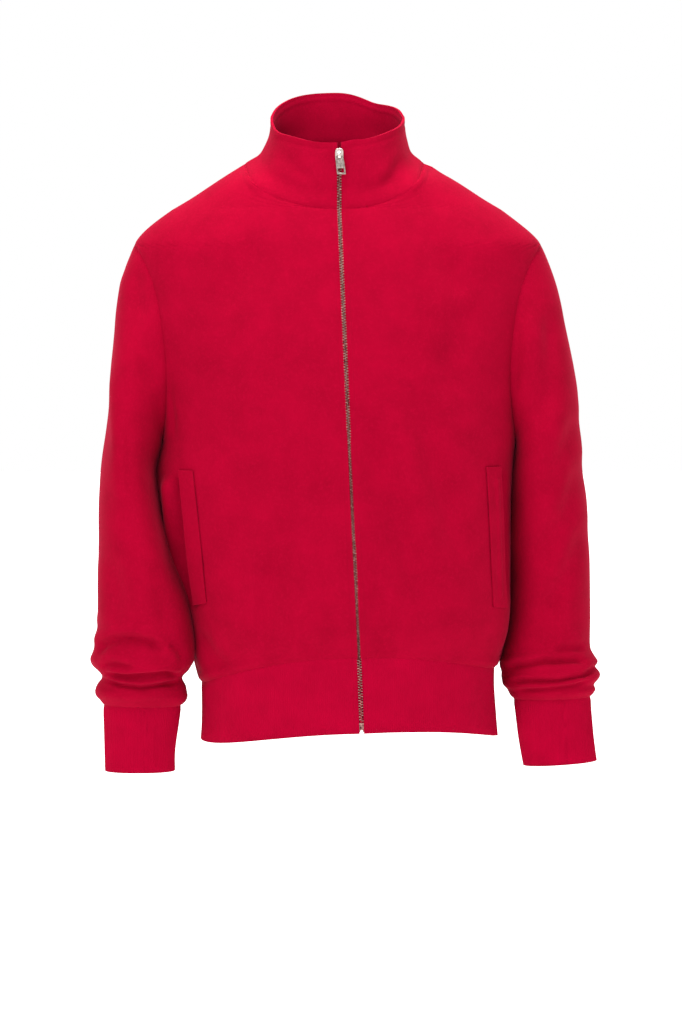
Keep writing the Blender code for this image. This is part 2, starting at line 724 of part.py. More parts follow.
def zip_stations():
    """(surface, place) down the zip: a height on the body, or a share of the collar's height."""
    band = [HEM + (BAND_SEAM - HEM) * k / BAND_ROWS for k in range(BAND_ROWS)]
    heights = [height for height in row_heights() if height < NECK_FRONT - 1]
    return (
        [("body", height) for height in band + heights]
        + [("collar", k / COLLAR_ROWS) for k in range(COLLAR_ROWS)]
    )


def zip_point(station, across):
    """The point and normal this far to the wearer's left of the zip's middle."""
    surface, place = station
    if surface == "collar":
        turn = collar_turn_at_x(zip_x(NECK_FRONT) + across, place)
        return collar(turn, place), collar_normal(turn, place)
    angle = angle_at_x(zip_x(place) + across, place)
    return body(angle, place), body_normal(angle, place)


def tape_depth(station):
    """How far behind the outer surface the tapes lie: just behind the cloth there."""
    surface, place = station
    if surface == "collar":
        return COLLAR_CLOTH + TAPE_GAP
    if place < BAND_SEAM + 1:
        return RIB_CLOTH + RIB_RISE + TAPE_GAP
    return (COLLAR_CLOTH if place > NECK_FRONT - 30 else FLEECE) + TAPE_GAP


def make_tape(name, side, finish):
    outer, inner = [], []
    stations = [("body", HEM + BOX_FOOT), *zip_stations()[1:], ("collar", 0.93)]
    for station in stations:
        near, far = [zip_point(station, side * across) for across in (TAPE_NEAR, TAPE_FAR)]
        depth = tape_depth(station)
        outer.append([p - n * depth for p, n in (near, far)])
        inner.append([p - n * (depth + TAPE) for p, n in (near, far)])
    wall(name, outer, inner, finish)


def make_chain(finish):
    outer, inner = [], []
    stations = [("body", HEM + BOX_TOP + 0.5), *zip_stations()[1:], ("collar", CHAIN_TOP)]
    for station in stations:
        edges = [zip_point(station, across) for across in (-TEETH_HALF, TEETH_HALF)]
        depth = tape_depth(station) - SEAM_GAP
        outer.append([p + n * TEETH_PROUD for p, n in edges])
        inner.append([p - n * depth for p, n in edges])
    wall("zip_chain", outer, inner, finish)


def block(bm, place, low, high):
    """A box between two corners, in the axes of place."""
    corners = [
        place @ (Vector((x, y, z)) * MM)
        for z in (low[2], high[2])
        for y in (low[1], high[1])
        for x in (low[0], high[0])
    ]
    points = [bm.verts.new(corner) for corner in corners]
    for a, b, c, d in ((0, 1, 3, 2), (4, 5, 7, 6), (0, 1, 5, 4), (2, 3, 7, 6), (0, 2, 6, 4), (1, 3, 7, 5)):
        bm.faces.new((points[a], points[b], points[c], points[d]))
    return points


def zip_axes(station):
    """Axes at the zip's middle: x to the wearer's left, y out of the cloth, z up the zip."""
    point, normal = zip_point(station, 0)
    across = normal.cross(Vector((0, 0, 1))).normalized()
    up = across.cross(normal).normalized()
    up = up if up.z > 0 else -up
    across = normal.cross(up)
    across = across if across.x > 0 else -across
    place = Matrix((across, normal, up)).transposed().to_4x4()
    place.translation = point
    return place


def make_box(finish):
    place = zip_axes(("body", HEM + (BOX_FOOT + BOX_TOP) / 2))
    half = (BOX_TOP - BOX_FOOT) / 2
    bm = bmesh.new()
    block(bm, place, (-TEETH_HALF, -2.6, -half), (TEETH_HALF, 0.8, half))
    link("zip_box", bm, finish)


def plate(bm, place, rows, low, high):
    """A flat plate between two depths, from rows of (height, half width)."""
    rims = []
    for depth in (low, high):
        left = [Vector((-half, depth, z)) for z, half in rows]
        right = [Vector((half, depth, z)) for z, half in reversed(rows)]
        rims.append([bm.verts.new(place @ (p * MM)) for p in left + right])
    bm.faces.new(rims[0])
    bm.faces.new(rims[1])
    for i in range(len(rims[0])):
        j = (i + 1) % len(rims[0])
        bm.faces.new((rims[0][i], rims[0][j], rims[1][j], rims[1][i]))


def make_slider(finish):
    """Two plates joined by a post above the teeth, and an arch that holds the tab."""
    place = zip_axes(("collar", SLIDER_PLACE))
    parts = []
    for kind in ("face", "post", "arch", "window"):
        bm = bmesh.new()
        if kind == "face":
            plate(bm, place, SLIDER_FACE, *FACE_DEPTHS)
            plate(bm, place, SLIDER_FACE, *BACK_DEPTHS)
        elif kind == "post":
            block(bm, place, (-1.1, BACK_DEPTHS[1] - 0.4, POST_FOOT), (1.1, FACE_DEPTHS[0] + 0.4, 7.4))
        elif kind == "arch":
            block(bm, place, (-1.4, FACE_DEPTHS[1] - 0.4, -3.6), (1.4, ARCH_TOP, 5.0))
        else:
            block(bm, place, (-3, FACE_DEPTHS[1], -2.2), (3, ARCH_TOP - 1.0, 2.2))
        parts.append(link(f"slider_{kind}", bm, finish))
    slider, *others = parts
    slider.name = "zip_slider"
    for other, operation in zip(others, ("UNION", "UNION", "DIFFERENCE")):
        cut = slider.modifiers.new(other.name, "BOOLEAN")
        cut.operation = operation
        cut.solver = "EXACT"
        cut.object = other
        other.hide_render = True
        other.display_type = "WIRE"


def tab_place():
    """The tab's axes: its bar is the origin, and it hangs straight down."""
    hung = zip_axes(("collar", SLIDER_PLACE)) @ (Vector((0, TAB_BAR_OUT, 0)) * MM)
    return Matrix.Translation(hung)


def make_tab(finish):
    """A flat tab with an eye for the arch at its top and a window at its foot."""
    place = tab_place()
    xs, half = TAB_COLUMNS, TAB_THICK / 2
    bm = bmesh.new()
    grid = []
    for depth in (-half, half):
        grid.append(
            [
                [
                    bm.verts.new(place @ (Vector((x * width - TAB_LEAN * min(z + 3, 0), depth, z)) * MM))
                    for x in xs
                ]
                for z, width in TAB_ROWS
            ]
        )
    rows, columns = len(TAB_ROWS) - 1, len(xs) - 1
    solid = {(k, i) for k in range(rows) for i in range(columns)} - TAB_WINDOWS
    for k, i in solid:
        ring = ((k, i), (k, i + 1), (k + 1, i + 1), (k + 1, i))
        for side in grid:
            bm.faces.new([side[a][b] for a, b in ring])
        for n, beyond in enumerate(((k - 1, i), (k, i + 1), (k + 1, i), (k, i - 1))):
            if beyond not in solid:
                a, b = ring[n], ring[(n + 1) % 4]
                bm.faces.new([grid[0][a[0]][a[1]], grid[0][b[0]][b[1]], grid[1][b[0]][b[1]], grid[1][a[0]][a[1]]])
    bmesh.ops.delete(bm, geom=[v for v in bm.verts if not v.link_faces], context="VERTS")
    link("pull_tab", bm, finish)


def build():
    for old in list(bpy.data.objects):
        bpy.data.objects.remove(old)
    fleece = material("red_fleece", (0.52, 0.0, 0.03), 0.92)
    rib = material("red_rib_knit", (0.5, 0.0, 0.03), 0.95)
    tape = material("red_zip_tape", (0.4, 0.0, 0.025), 0.9)
    brass = material("antique_brass", (0.14, 0.09, 0.045), 0.42, 1.0)
    nickel = material("pale_nickel", (0.62, 0.6, 0.56), 0.3, 1.0)
    sleeves = {1: SLEEVE_LEFT, -1: SLEEVE_RIGHT}
    seams = {side: armhole_seam(rows, side) for side, rows in sleeves.items()}
    make_fronts(seams, fleece)
    make_back(seams, fleece)
    make_collar(fleece)
    make_band(rib)
    make_sleeve("sleeve_left", SLEEVE_LEFT, 1, seams[1], fleece)
    make_sleeve("sleeve_right", SLEEVE_RIGHT, -1, seams[-1], fleece)
    make_cuff("cuff_left", CUFF_LEFT, 1, rib)
    make_cuff("cuff_right", CUFF_RIGHT, -1, rib)
    make_welt("pocket_welt_left", WELTS["left"], fleece)
    make_welt("pocket_welt_right", WELTS["right"], fleece)
    make_tape("zip_tape_left", 1, tape)
    make_tape("zip_tape_right", -1, tape)
    make_chain(brass)
    make_box(nickel)
    make_slider(nickel)
    make_tab(nickel)


build()
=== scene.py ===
import json
import math

import bmesh
import bpy
import numpy as np
from mathutils import Matrix, Vector, noise
from mathutils.bvhtree import BVHTree
from mathutils.kdtree import KDTree


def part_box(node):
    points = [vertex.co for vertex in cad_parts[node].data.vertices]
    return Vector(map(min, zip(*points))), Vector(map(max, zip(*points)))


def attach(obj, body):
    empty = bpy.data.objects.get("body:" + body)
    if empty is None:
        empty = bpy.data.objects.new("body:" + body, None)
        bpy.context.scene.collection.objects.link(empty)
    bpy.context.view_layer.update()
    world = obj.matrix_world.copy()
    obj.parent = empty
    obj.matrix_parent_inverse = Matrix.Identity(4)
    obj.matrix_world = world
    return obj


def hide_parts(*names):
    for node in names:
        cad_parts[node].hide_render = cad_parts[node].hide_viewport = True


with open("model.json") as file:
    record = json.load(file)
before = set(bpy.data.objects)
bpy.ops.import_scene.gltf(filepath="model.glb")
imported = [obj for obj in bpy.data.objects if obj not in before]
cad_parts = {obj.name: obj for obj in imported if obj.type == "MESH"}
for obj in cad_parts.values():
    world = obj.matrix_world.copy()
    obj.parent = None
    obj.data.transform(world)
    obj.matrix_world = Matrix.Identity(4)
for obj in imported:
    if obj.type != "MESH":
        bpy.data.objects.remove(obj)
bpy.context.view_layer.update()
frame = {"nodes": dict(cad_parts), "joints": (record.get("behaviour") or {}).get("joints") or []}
mm = 0.001  # lengths are in mm; places in the frame are in metres
nodes = frame["nodes"]


def linear(hexColour):
    values = [int(hexColour[i : i + 2], 16) / 255 for i in (1, 3, 5)]
    return [v / 12.92 if v <= 0.04045 else ((v + 0.055) / 1.055) ** 2.4 for v in values] + [1.0]


def addNode(tree, kind, settings=None, links=None):
    node = tree.nodes.new(kind)
    for key, value in (settings or {}).items():
        if isinstance(key, str) and hasattr(node, key):
            setattr(node, key, value)
        else:
            node.inputs[key].default_value = value
    for key, source in (links or {}).items():
        tree.links.new(source, node.inputs[key])
    return node


def startMaterial(name, settings):
    made = bpy.data.materials.new(name)
    made.use_nodes = True
    tree = made.node_tree
    shader = tree.nodes["Principled BSDF"]
    for key, value in settings.items():
        shader.inputs[key].default_value = value
    return made, tree, shader


# Brushed-back cotton fleece: matt, with a faint nap that lightens at grazing angles
fleeceLook = {
    "colour": "#8b0020",
    "shade": "#80001c",
    "light": "#920225",
    "knitMm": 0.9,
    "knitDepth": 0.2,
    "napMm": 3.2,  # single fibres are too fine to show, so the nap is drawn this coarse
    "napDepth": 0.16,
    "mottleMm": 34,
    "sheen": 0.12,
    "sheenTint": "#ff5c7e",
}
# Cotton rib knit: a finer stitch than the fleece's, a shade brighter, in raised ridges
ribKnitLook = {
    **fleeceLook,
    "colour": "#940024",
    "shade": "#890020",
    "knitMm": 0.7,
    "knitDepth": 0.28,
}


def makeFleece(name, look):
    made, tree, shader = startMaterial(
        name,
        {
            "Roughness": 0.92,
            "Specular IOR Level": 0.03,
            "Sheen Weight": look["sheen"],
            "Sheen Roughness": 0.36,
            "Sheen Tint": linear(look["sheenTint"]),
        },
    )
    place = addNode(tree, "ShaderNodeTexCoord").outputs["Object"]
    knit, nap, mottle = [
        addNode(
            tree,
            "ShaderNodeTexNoise",
            {"Scale": 1000 / sizeMm, "Detail": detail, "Roughness": roughness},
            {"Vector": place},
        )
        for sizeMm, detail, roughness in (
            (look["knitMm"], 2.0, 0.6),
            (look["napMm"], 3.0, 0.62),
            (look["mottleMm"], 4.0, 0.6),
        )
    ]
    spread = addNode(
        tree,
        "ShaderNodeMapRange",
        {"From Min": 0.3, "From Max": 0.7},
        {"Value": mottle.outputs["Fac"]},
    )
    base = addNode(  # the dye is a little uneven from place to place
        tree,
        "ShaderNodeMix",
        {"data_type": "RGBA", 6: linear(look["shade"]), 7: linear(look["colour"])},
        {0: spread.outputs["Result"]},
    )
    # painted highlight: the highest tips of the nap are painted in the lighter colour, as if lit
    napHighlight = addNode(  # the highest of the nap catches the light, by half at most
        tree,
        "ShaderNodeMapRange",
        {"From Min": 0.5, "From Max": 0.72, "To Max": 0.5},
        {"Value": nap.outputs["Fac"]},
    )
    colour = addNode(
        tree,
        "ShaderNodeMix",
        {"data_type": "RGBA", 7: linear(look["light"])},
        {0: napHighlight.outputs["Result"], 6: base.outputs[2]},
    )
    tree.links.new(colour.outputs[2], shader.inputs["Base Color"])
    fine = addNode(
        tree,
        "ShaderNodeBump",
        {"Strength": look["knitDepth"], "Distance": 0.3 * mm},
        {"Height": knit.outputs["Fac"]},
    )
    soft = addNode(
        tree,
        "ShaderNodeBump",
        {"Strength": look["napDepth"], "Distance": 0.6 * mm},
        {"Height": nap.outputs["Fac"], "Normal": fine.outputs["Normal"]},
    )
    tree.links.new(soft.outputs["Normal"], shader.inputs["Normal"])
    return made


# Zip tape: twill-woven polyester, flat and a little darker than the fleece
tapeLook = {
    "colour": "#79001b",
    "bandMm": 0.9,
    "bandDepth": 0.5,
    "bumpMm": 0.25,
    "waver": 0.4,
    "roughness": 0.8,
    "specular": 0.3,
}
# Spun polyester sewing thread, with its twist
threadLook = {
    "colour": "#82001f",
    "bandMm": 0.45,
    "bandDepth": 0.3,
    "bumpMm": 0.1,
    "waver": 0.0,
    "roughness": 0.9,
    "specular": 0.05,
}


def makeBanded(name, look):
    # yarns that lie side by side on a slant
    made, tree, shader = startMaterial(
        name,
        {
            "Roughness": look["roughness"],
            "Specular IOR Level": look["specular"],
            "Base Color": linear(look["colour"]),
        },
    )
    place = addNode(tree, "ShaderNodeTexCoord").outputs["Object"]
    bands = addNode(
        tree,
        "ShaderNodeTexWave",
        {
            "bands_direction": "DIAGONAL",
            "Scale": 1000 / look["bandMm"] / 6.28,
            "Distortion": look["waver"],
        },
        {"Vector": place},
    )
    bump = addNode(
        tree,
        "ShaderNodeBump",
        {"Strength": look["bandDepth"], "Distance": look["bumpMm"] * mm},
        {"Height": bands.outputs["Fac"]},
    )
    tree.links.new(bump.outputs["Normal"], shader.inputs["Normal"])
    return made


# Die-struck brass, blackened and rubbed back: dark red-brown with bright spots, partly its real
# blackening and wear and partly painted reflection of dark and bright surroundings; its red tint is a
# painted reflection of the red cloth
brassLook = {"dark": "#2c1314", "bright": "#b88a83", "wearAndReflectionMm": 2.4, "roughness": 0.42}
# Cast nickel, softly polished, with painted light: its warm tint is a painted reflection of the red
# cloth and its dark and pale spots are painted reflection; the slider's copy is paler than the tab's, as
# painted highlight
nickelLook = {"dark": "#a89c95", "bright": "#dccfc8", "wearAndReflectionMm": 1.8, "roughness": 0.32}
tabNickelLook = {"dark": "#776c66", "bright": "#a39891", "wearAndReflectionMm": 2.6, "roughness": 0.36}


def makeMetal(name, look):
    made, tree, shader = startMaterial(name, {"Metallic": 1.0, "Roughness": look["roughness"]})
    place = addNode(tree, "ShaderNodeTexCoord").outputs["Object"]
    # painted reflection: random dark and bright spots in the colour stand in for dark and bright
    # surroundings the metal reflects; on the brass they are also its real blackening and wear
    wearAndReflection = addNode(
        tree,
        "ShaderNodeTexNoise",
        {"Scale": 1000 / look["wearAndReflectionMm"], "Detail": 4.0, "Roughness": 0.6},
        {"Vector": place},
    )
    spread = addNode(
        tree,
        "ShaderNodeMapRange",
        {"From Min": 0.35, "From Max": 0.65},
        {"Value": wearAndReflection.outputs["Fac"]},
    )
    colour = addNode(
        tree,
        "ShaderNodeMix",
        {"data_type": "RGBA", 6: linear(look["dark"]), 7: linear(look["bright"])},
        {0: spread.outputs["Result"]},
    )
    rough = addNode(
        tree,
        "ShaderNodeMapRange",
        {"To Min": look["roughness"] - 0.08, "To Max": look["roughness"] + 0.12},
        {"Value": wearAndReflection.outputs["Fac"]},
    )
    bump = addNode(
        tree,
        "ShaderNodeBump",
        {"Strength": 0.12, "Distance": 0.1 * mm},
        {"Height": wearAndReflection.outputs["Fac"]},
    )
    tree.links.new(colour.outputs[2], shader.inputs["Base Color"])
    tree.links.new(rough.outputs["Result"], shader.inputs["Roughness"])
    tree.links.new(bump.outputs["Normal"], shader.inputs["Normal"])
    return made


fleece = makeFleece("brushedCottonFleece", fleeceLook)
rib = makeFleece("cottonRibKnit", ribKnitLook)
tape = makeBanded("wovenPolyesterTape", tapeLook)
brass = makeMetal("antiquedBrassPaintedReflection", brassLook)
# the slider's nickel is a paler copy of the tab's, as painted highlight
nickel = makeMetal("sliderNickelPaintedHighlight", nickelLook)
tabNickel = makeMetal("tabNickelPaintedReflection", tabNickelLook)
thread = makeBanded("spunPolyesterThread", threadLook)
print("materials made")

# How a wall's side is told from its rims, in mm and degrees
wallLook = {"deepest": 4.8, "opposed": -0.35, "rimWide": 3.4, "rimTurn": 70, "joinTurn": 60}
cornerTurn = 135  # an edge that bends more sharply than this has a corner there


def cadSheet(name, outer=True):
    # one side of a CAD wall, without its rims, as quads
    bm = bmesh.new()
    bm.from_mesh(nodes[name].data)
    bmesh.ops.remove_doubles(bm, verts=bm.verts, dist=2e-6)
    bm.faces.index_update()
    bm.faces.ensure_lookup_table()
    tree = BVHTree.FromBMesh(bm)
    left = set()
    for face in bm.faces:
        start = face.calc_center_median() - face.normal * 1e-5
        _, facing, number, _ = tree.ray_cast(start, -face.normal, wallLook["deepest"] * mm)
        if number is None or set(face.verts) & set(bm.faces[number].verts):
            continue  # a rim's face has nothing behind it but the sides it joins
        if facing.dot(face.normal) < wallLook["opposed"]:
            left.add(face)
    islands = []
    while left:
        island, growing = set(), [left.pop()]
        while growing:
            face = growing.pop()
            island.add(face)
            for other in {f for side in face.edges for f in side.link_faces} & left:
                left.discard(other)
                growing.append(other)
        islands.append(island)
    islands.sort(key=lambda island: -sum(face.calc_area() for face in island))
    kept = islands[0 if outer else 1]
    growing = list(kept)
    while growing:  # slivers beside a rim, that lie nearly flush with the rest
        face = growing.pop()
        for other in {f for side in face.edges for f in side.link_faces} - kept:
            turn = face.normal.angle(other.normal)
            wide = min(side.calc_length() for side in other.edges)  # only a rim's face is narrow
            if turn < math.radians(wallLook["rimTurn"]) and wide >= wallLook["rimWide"] * mm:
                kept.add(other)
                growing.append(other)
    bmesh.ops.delete(bm, geom=[f for f in bm.faces if f not in kept], context="FACES")
    joinTurn = math.radians(wallLook["joinTurn"])
    bmesh.ops.join_triangles(
        bm, faces=bm.faces, angle_face_threshold=joinTurn, angle_shape_threshold=joinTurn
    )
    if not outer:
        bmesh.ops.reverse_faces(bm, faces=bm.faces)
    return bm


def refine(bm, levels):
    # rounds a sheet's facets off; its own points are moved out first, so that the round surface
    # meets them
    mesh = bpy.data.meshes.new("rough")
    bm.normal_update()
    rim = [v.is_boundary for v in bm.verts]
    corner = bm.verts.layers.float.new("crease_vert")
    for v in bm.verts:
        ends = [e.other_vert(v).co - v.co for e in v.link_edges if e.is_boundary]
        if len(ends) == 2 and ends[0].angle(ends[1]) < math.radians(cornerTurn):
            v[corner] = 1.0  # a panel's corners stay corners
    normals = [v.normal.copy() for v in bm.verts]
    bm.verts.index_update()
    near = [[e.other_vert(v).index for e in v.link_edges] for v in bm.verts]
    bm.to_mesh(mesh)
    bm.free()
    own = [v.co.copy() for v in mesh.vertices]
    holder = bpy.data.objects.new("rough", mesh)
    bpy.context.scene.collection.objects.link(holder)
    smooth = holder.modifiers.new("smooth", "SUBSURF")
    smooth.boundary_smooth = "PRESERVE_CORNERS"
    for level in (1, 1, levels):  # twice to find how far the points have to move, then for good
        smooth.levels = smooth.render_levels = level
        mesh.update()
        bpy.context.view_layer.update()
        shaped = holder.evaluated_get(bpy.context.evaluated_depsgraph_get()).to_mesh()
        if level < levels:
            offs = [was - now.co for was, now in zip(own, shaped.vertices)]
            lifts = [off.dot(n) for off, n in zip(offs, normals)]
            for _ in range(2):  # evened out over the neighbours, so that an odd facet doesn't show
                sums = [sum(lifts[j] for j in close) for close in near]
                lifts = [(was + s) / (1 + len(close)) for was, s, close in zip(lifts, sums, near)]
            for i, v in enumerate(mesh.vertices):
                v.co += offs[i] if rim[i] else normals[i] * lifts[i]
    made = bmesh.new()
    made.from_mesh(shaped)
    bpy.data.objects.remove(holder)
    bpy.data.meshes.remove(mesh)
    inside = [v for v in made.verts if not v.is_boundary]
    for _ in range(4):
        bmesh.ops.smooth_vert(
            made, verts=inside, factor=0.5, use_axis_x=True, use_axis_y=True, use_axis_z=True
        )
    return made


def soften(t):
    t = min(max(t, 0.0), 1.0)
    return t * t * (3 - 2 * t)


def bell(value, width):
    return math.exp(-((value / width) ** 2))


def vertsOf(geom):
    return [g for g in geom if isinstance(g, bmesh.types.BMVert)]


def crease(points, width, rise, taper=4):
    # straight runs between (x, z) seen from the front, in mm; its ends fade out over 1 / taper of it
    return {"points": points, "width": width, "rise": rise, "taper": taper}


def alongFold(p, fold):
    # (distance across in mm, share along) of a place seen from the front
    best = None
    points = fold["points"]
    lengths = [math.dist(a, b) for a, b in zip(points, points[1:])]
    total, gone = sum(lengths), 0.0
    for a, b, length in zip(points, points[1:], lengths):
        dx, dz = b[0] - a[0], b[1] - a[1]
        t = ((p[0] - a[0]) * dx + (p[1] - a[1]) * dz) / length**2
        t = min(max(t, 0.0), 1.0)
        away = (p[0] - a[0] - dx * t, p[1] - a[1] - dz * t)
        distance = math.hypot(*away)
        if best is None or distance < abs(best[0]):
            side = 1 if away[0] * dz - away[1] * dx > 0 else -1
            best = (distance * side, (gone + length * t) / total)
        gone += length
    return best


# How much deeper and wider every crease is than its table says, and the swell beside it, which
# is a share as high, this many widths away and this many widths wide
foldLook = {"depth": 2.2, "widen": 1.2, "swell": 0.55, "swellAway": 1.9, "swellWide": 1.3}


def foldRise(p, folds):
    # a crease is a trough with a lower swell beside it, and fades out at its ends
    rise = 0.0
    for fold in folds:
        width = fold["width"] * foldLook["widen"]
        reach = width * 4.5  # past this it adds nothing
        xs, zs = zip(*fold["points"])
        if not min(xs) - reach < p[0] < max(xs) + reach:
            continue
        if not min(zs) - reach < p[1] < max(zs) + reach:
            continue
        across, along = alongFold(p, fold)
        ends = soften(along * fold["taper"]) * soften((1 - along) * fold["taper"])
        swell = bell(across - width * foldLook["swellAway"], width * foldLook["swellWide"])
        shape = bell(across, width) - foldLook["swell"] * swell
        rise += ends * fold["rise"] * foldLook["depth"] * shape
    return rise


def drift(p, size, seed):
    # a smooth random value from -1 to 1, with waves of these sizes in mm
    place = Vector((p.x / size[0], p.y / size[1], p.z / size[2])) / mm
    return noise.noise(place + Vector((seed, 3.1 * seed, 0)))


def displace(bm, rise):
    bm.normal_update()
    moves = [(v, v.normal.copy() * rise(v.co, v.normal) * mm) for v in bm.verts]
    for v, move in moves:
        v.co += move


def treeOf(spots):
    tree = KDTree(len(spots))
    for i, co in enumerate(spots):
        tree.insert(co, i)
    tree.balance()
    return tree


def edgeSpan(bm, where=None):
    # how far a point of the sheet lies from its sewn edges, in mm
    tree = treeOf([v.co for v in bm.verts if v.is_boundary and (where is None or where(v.co))])
    return lambda co: tree.find(co)[2] / mm


def seamDip(span, depth=0.5):
    return -depth * bell(span, 2.4)  # the cloth is drawn in where it is sewn


def held(span, reach=9.0):
    return 1 - bell(span, reach)  # folds die out at a seam, so that both sides of it meet


def evened(spots, values, reach):
    # each place's value, averaged with those up to this many mm away
    tree = treeOf(spots)
    shared = []
    for co in spots:
        close = [values[i] for _, i, _ in tree.find_range(co, reach * mm)]
        shared.append(sum(close, Vector((0, 0, 0))) / len(close))
    return shared


rims = {}  # every sheet's edge, as it was sewn
seamPull = {"furthest": 4.0, "behind": 14.0, "evenOver": 3.5}  # in mm


def meetSeam(name, bm, others):
    # draws a sewn edge onto the edges it is sewn to, and the cloth behind it follows
    spots = [co for other in others for co in rims[other]]
    if spots:
        tree = treeOf(spots)
        places, pulls = [], []
        for v in bm.verts:
            spot, _, distance = tree.find(v.co)
            if v.is_boundary and distance < seamPull["furthest"] * mm:
                ends = [e.other_vert(v).co for e in v.link_edges if e.is_boundary]
                along = (ends[0] - ends[-1]).normalized()
                off = spot - v.co
                places.append(v.co.copy())
                pulls.append(off - along * off.dot(along))
        pulls = evened(places, pulls, seamPull["evenOver"])
        near = treeOf(places)
        for v in bm.verts:
            _, i, distance = near.find(v.co)
            v.co += pulls[i] * (1 - soften(distance / mm / seamPull["behind"]))
    rims[name] = [v.co.copy() for v in bm.verts if v.is_boundary]


# (out, down) in mm of each step of a seam allowance, that curls in or lies on under the next piece
curl = ((0.6, 0.12), (0.5, 1.3))
underlap = ((0.6, 0.25), (0.8, 1.2), (0.9, 1.0))


def turnUnder(bm, where=None, steps=curl):
    for out, down in steps:
        bm.normal_update()
        rim = [e for e in bm.edges if e.is_boundary]
        if where:
            rim = [e for e in rim if all(where(v.co) for v in e.verts)]
        aims = {}
        for e in rim:
            along = (e.verts[1].co - e.verts[0].co).normalized()
            away = (e.verts[0].co + e.verts[1].co) / 2 - e.link_faces[0].calc_center_median()
            away -= along * away.dot(along)
            for v in e.verts:
                aims[v] = aims.get(v, Vector((0, 0, 0))) + away.normalized()
        spots = [v.co.copy() for v in aims]
        outs = evened(spots, list(aims.values()), 3)
        downs = evened(spots, [v.normal.copy() for v in aims], 3)
        near = treeOf(spots)
        made = bmesh.ops.extrude_edge_only(bm, edges=rim)["geom"]
        for v in vertsOf(made):
            i = near.find(v.co)[1]
            v.co += (outs[i].normalized() * out - downs[i].normalized() * down) * mm


def thicken(bm, thick):
    # gives a sheet a plain inside, parallel to it; returns the outer points and their normals
    bm.normal_update()
    outer = list(bm.verts)
    normals = {v.co.to_tuple(7): v.normal.copy() for v in outer}
    made = bmesh.ops.extrude_face_region(bm, geom=bm.faces[:], use_keep_orig=True)["geom"]
    for v in vertsOf(made):
        v.co -= normals[v.co.to_tuple(7)] * thick * mm
    bmesh.ops.recalc_face_normals(bm, faces=bm.faces)
    return [(v, normals[v.co.to_tuple(7)]) for v in outer]


def toMesh(name, bm):
    mesh = bpy.data.meshes.new(name)
    bm.to_mesh(mesh)
    bm.free()
    return mesh


def toObject(name, bm, finish):
    mesh = toMesh(name, bm)
    mesh.shade_smooth()
    mesh.materials.append(finish)
    made = bpy.data.objects.new(name, mesh)
    bpy.context.scene.collection.objects.link(made)
    return made


def finishCloth(name, bm, finish, thick, node, roll=0.7):
    # the looks' cut, the widest and longest a piece is before sewing in metres, is not used
    made = toObject(name, bm, finish)
    if thick:
        wall = made.modifiers.new("cloth", "SOLIDIFY")
        wall.thickness = thick * mm
        wall.offset = -1
        wall.use_even_offset = False
    if roll:
        edge = made.modifiers.new("rolledEdge", "BEVEL")
        edge.limit_method = "ANGLE"
        edge.angle_limit = math.radians(62)
        edge.width = roll * mm
        edge.segments = 2
    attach(made, "garment")
    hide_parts(node)


# The zip's own line is read from its place in the frame; the rest is in mm
zipLook = {
    "pitch": 3.16,
    "toothWide": 3.3,
    "toothDeep": 2.6,
    "toothHigh": 1.25,
    "toothOff": 0.95,  # from the zip's middle to the tooth's own
    "headHigh": 0.6,  # the head's share of the foot's height
    "headBack": 0.7,
    "toothRound": 0.24,
    "proud": 0.15,
    "stitchFromMiddle": 8.2,
    "stitchSink": 0.55,
    "stitchWide": 1.7,
}


def readZipLine(steps=140):
    # (x, y, z) in mm of the front of the teeth, from the hem up
    low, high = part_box("zip_chain")
    line = []
    for k in range(steps + 1):
        z = low[2] + (high[2] - low[2]) * (0.002 + 0.996 * k / steps)
        cut = bmesh.new()
        cut.from_mesh(nodes["zip_chain"].data)
        geom = cut.verts[:] + cut.edges[:] + cut.faces[:]
        made = bmesh.ops.bisect_plane(cut, geom=geom, plane_co=(0, 0, z), plane_no=(0, 0, 1))
        ring = [v.co / mm for v in vertsOf(made["geom_cut"])]
        xs = [co.x for co in ring]
        line.append(((min(xs) + max(xs)) / 2, min(co.y for co in ring), z / mm))
        cut.free()
    return np.array(line)


def runOf(points):
    # the length gone at each point of a line
    return np.concatenate([[0], np.cumsum(np.linalg.norm(np.diff(points, axis=0), axis=1))])


def atRun(run, points, s):
    return Vector([np.interp(s, run, points[:, i]) for i in range(3)])


zipLine = readZipLine()
zipRun = runOf(zipLine)


def zipX(z):
    return float(np.interp(z, zipLine[:, 2], zipLine[:, 0]))


def zipPlace(run):
    # axes on the zip, this far up it in mm: x to the wearer's left, y into the cloth, z up
    middle = min(max(run, 3), zipRun[-1] - 3)
    up = (atRun(zipRun, zipLine, middle + 3) - atRun(zipRun, zipLine, middle - 3)).normalized()
    inward = up.cross(Vector((1, 0, 0))).normalized()
    across = inward.cross(up)
    place = Matrix((across, inward, up)).transposed().to_4x4()
    past = min(run, 0) + max(run - zipRun[-1], 0)
    place.translation = (atRun(zipRun, zipLine, run) + up * past) * mm
    return place


# Body panels
frontFolds = [
    crease([(26, -306), (58, -400), (100, -545)], 15, -2.6),
    crease([(90, -288), (110, -380), (142, -485)], 13, -2.2),
    crease([(150, -170), (128, -240), (122, -300)], 14, -1.5),
    crease([(30, -480), (44, -560), (66, -612)], 10, -1.6),
    crease([(-70, -452), (-86, -520), (-92, -588)], 13, -2.6),
    crease([(-213, -215), (-207, -262), (-200, -310), (-196, -345)], 4, -1.2, 5),
    crease([(-120, -400), (-112, -480), (-124, -560)], 12, -1.7),
    crease([(-150, -300), (-120, -380), (-86, -440)], 15, -1.4),
    crease([(-40, -560), (-30, -590), (-26, -618)], 7, -1.3),
    crease([(-172, -560), (-150, -596), (-118, -622)], 8, -1.9),
    crease([(-100, -90), (-112, -140), (-140, -190)], 13, -1.2),
    crease([(96, -84), (118, -130), (150, -176)], 13, -1.2),
]
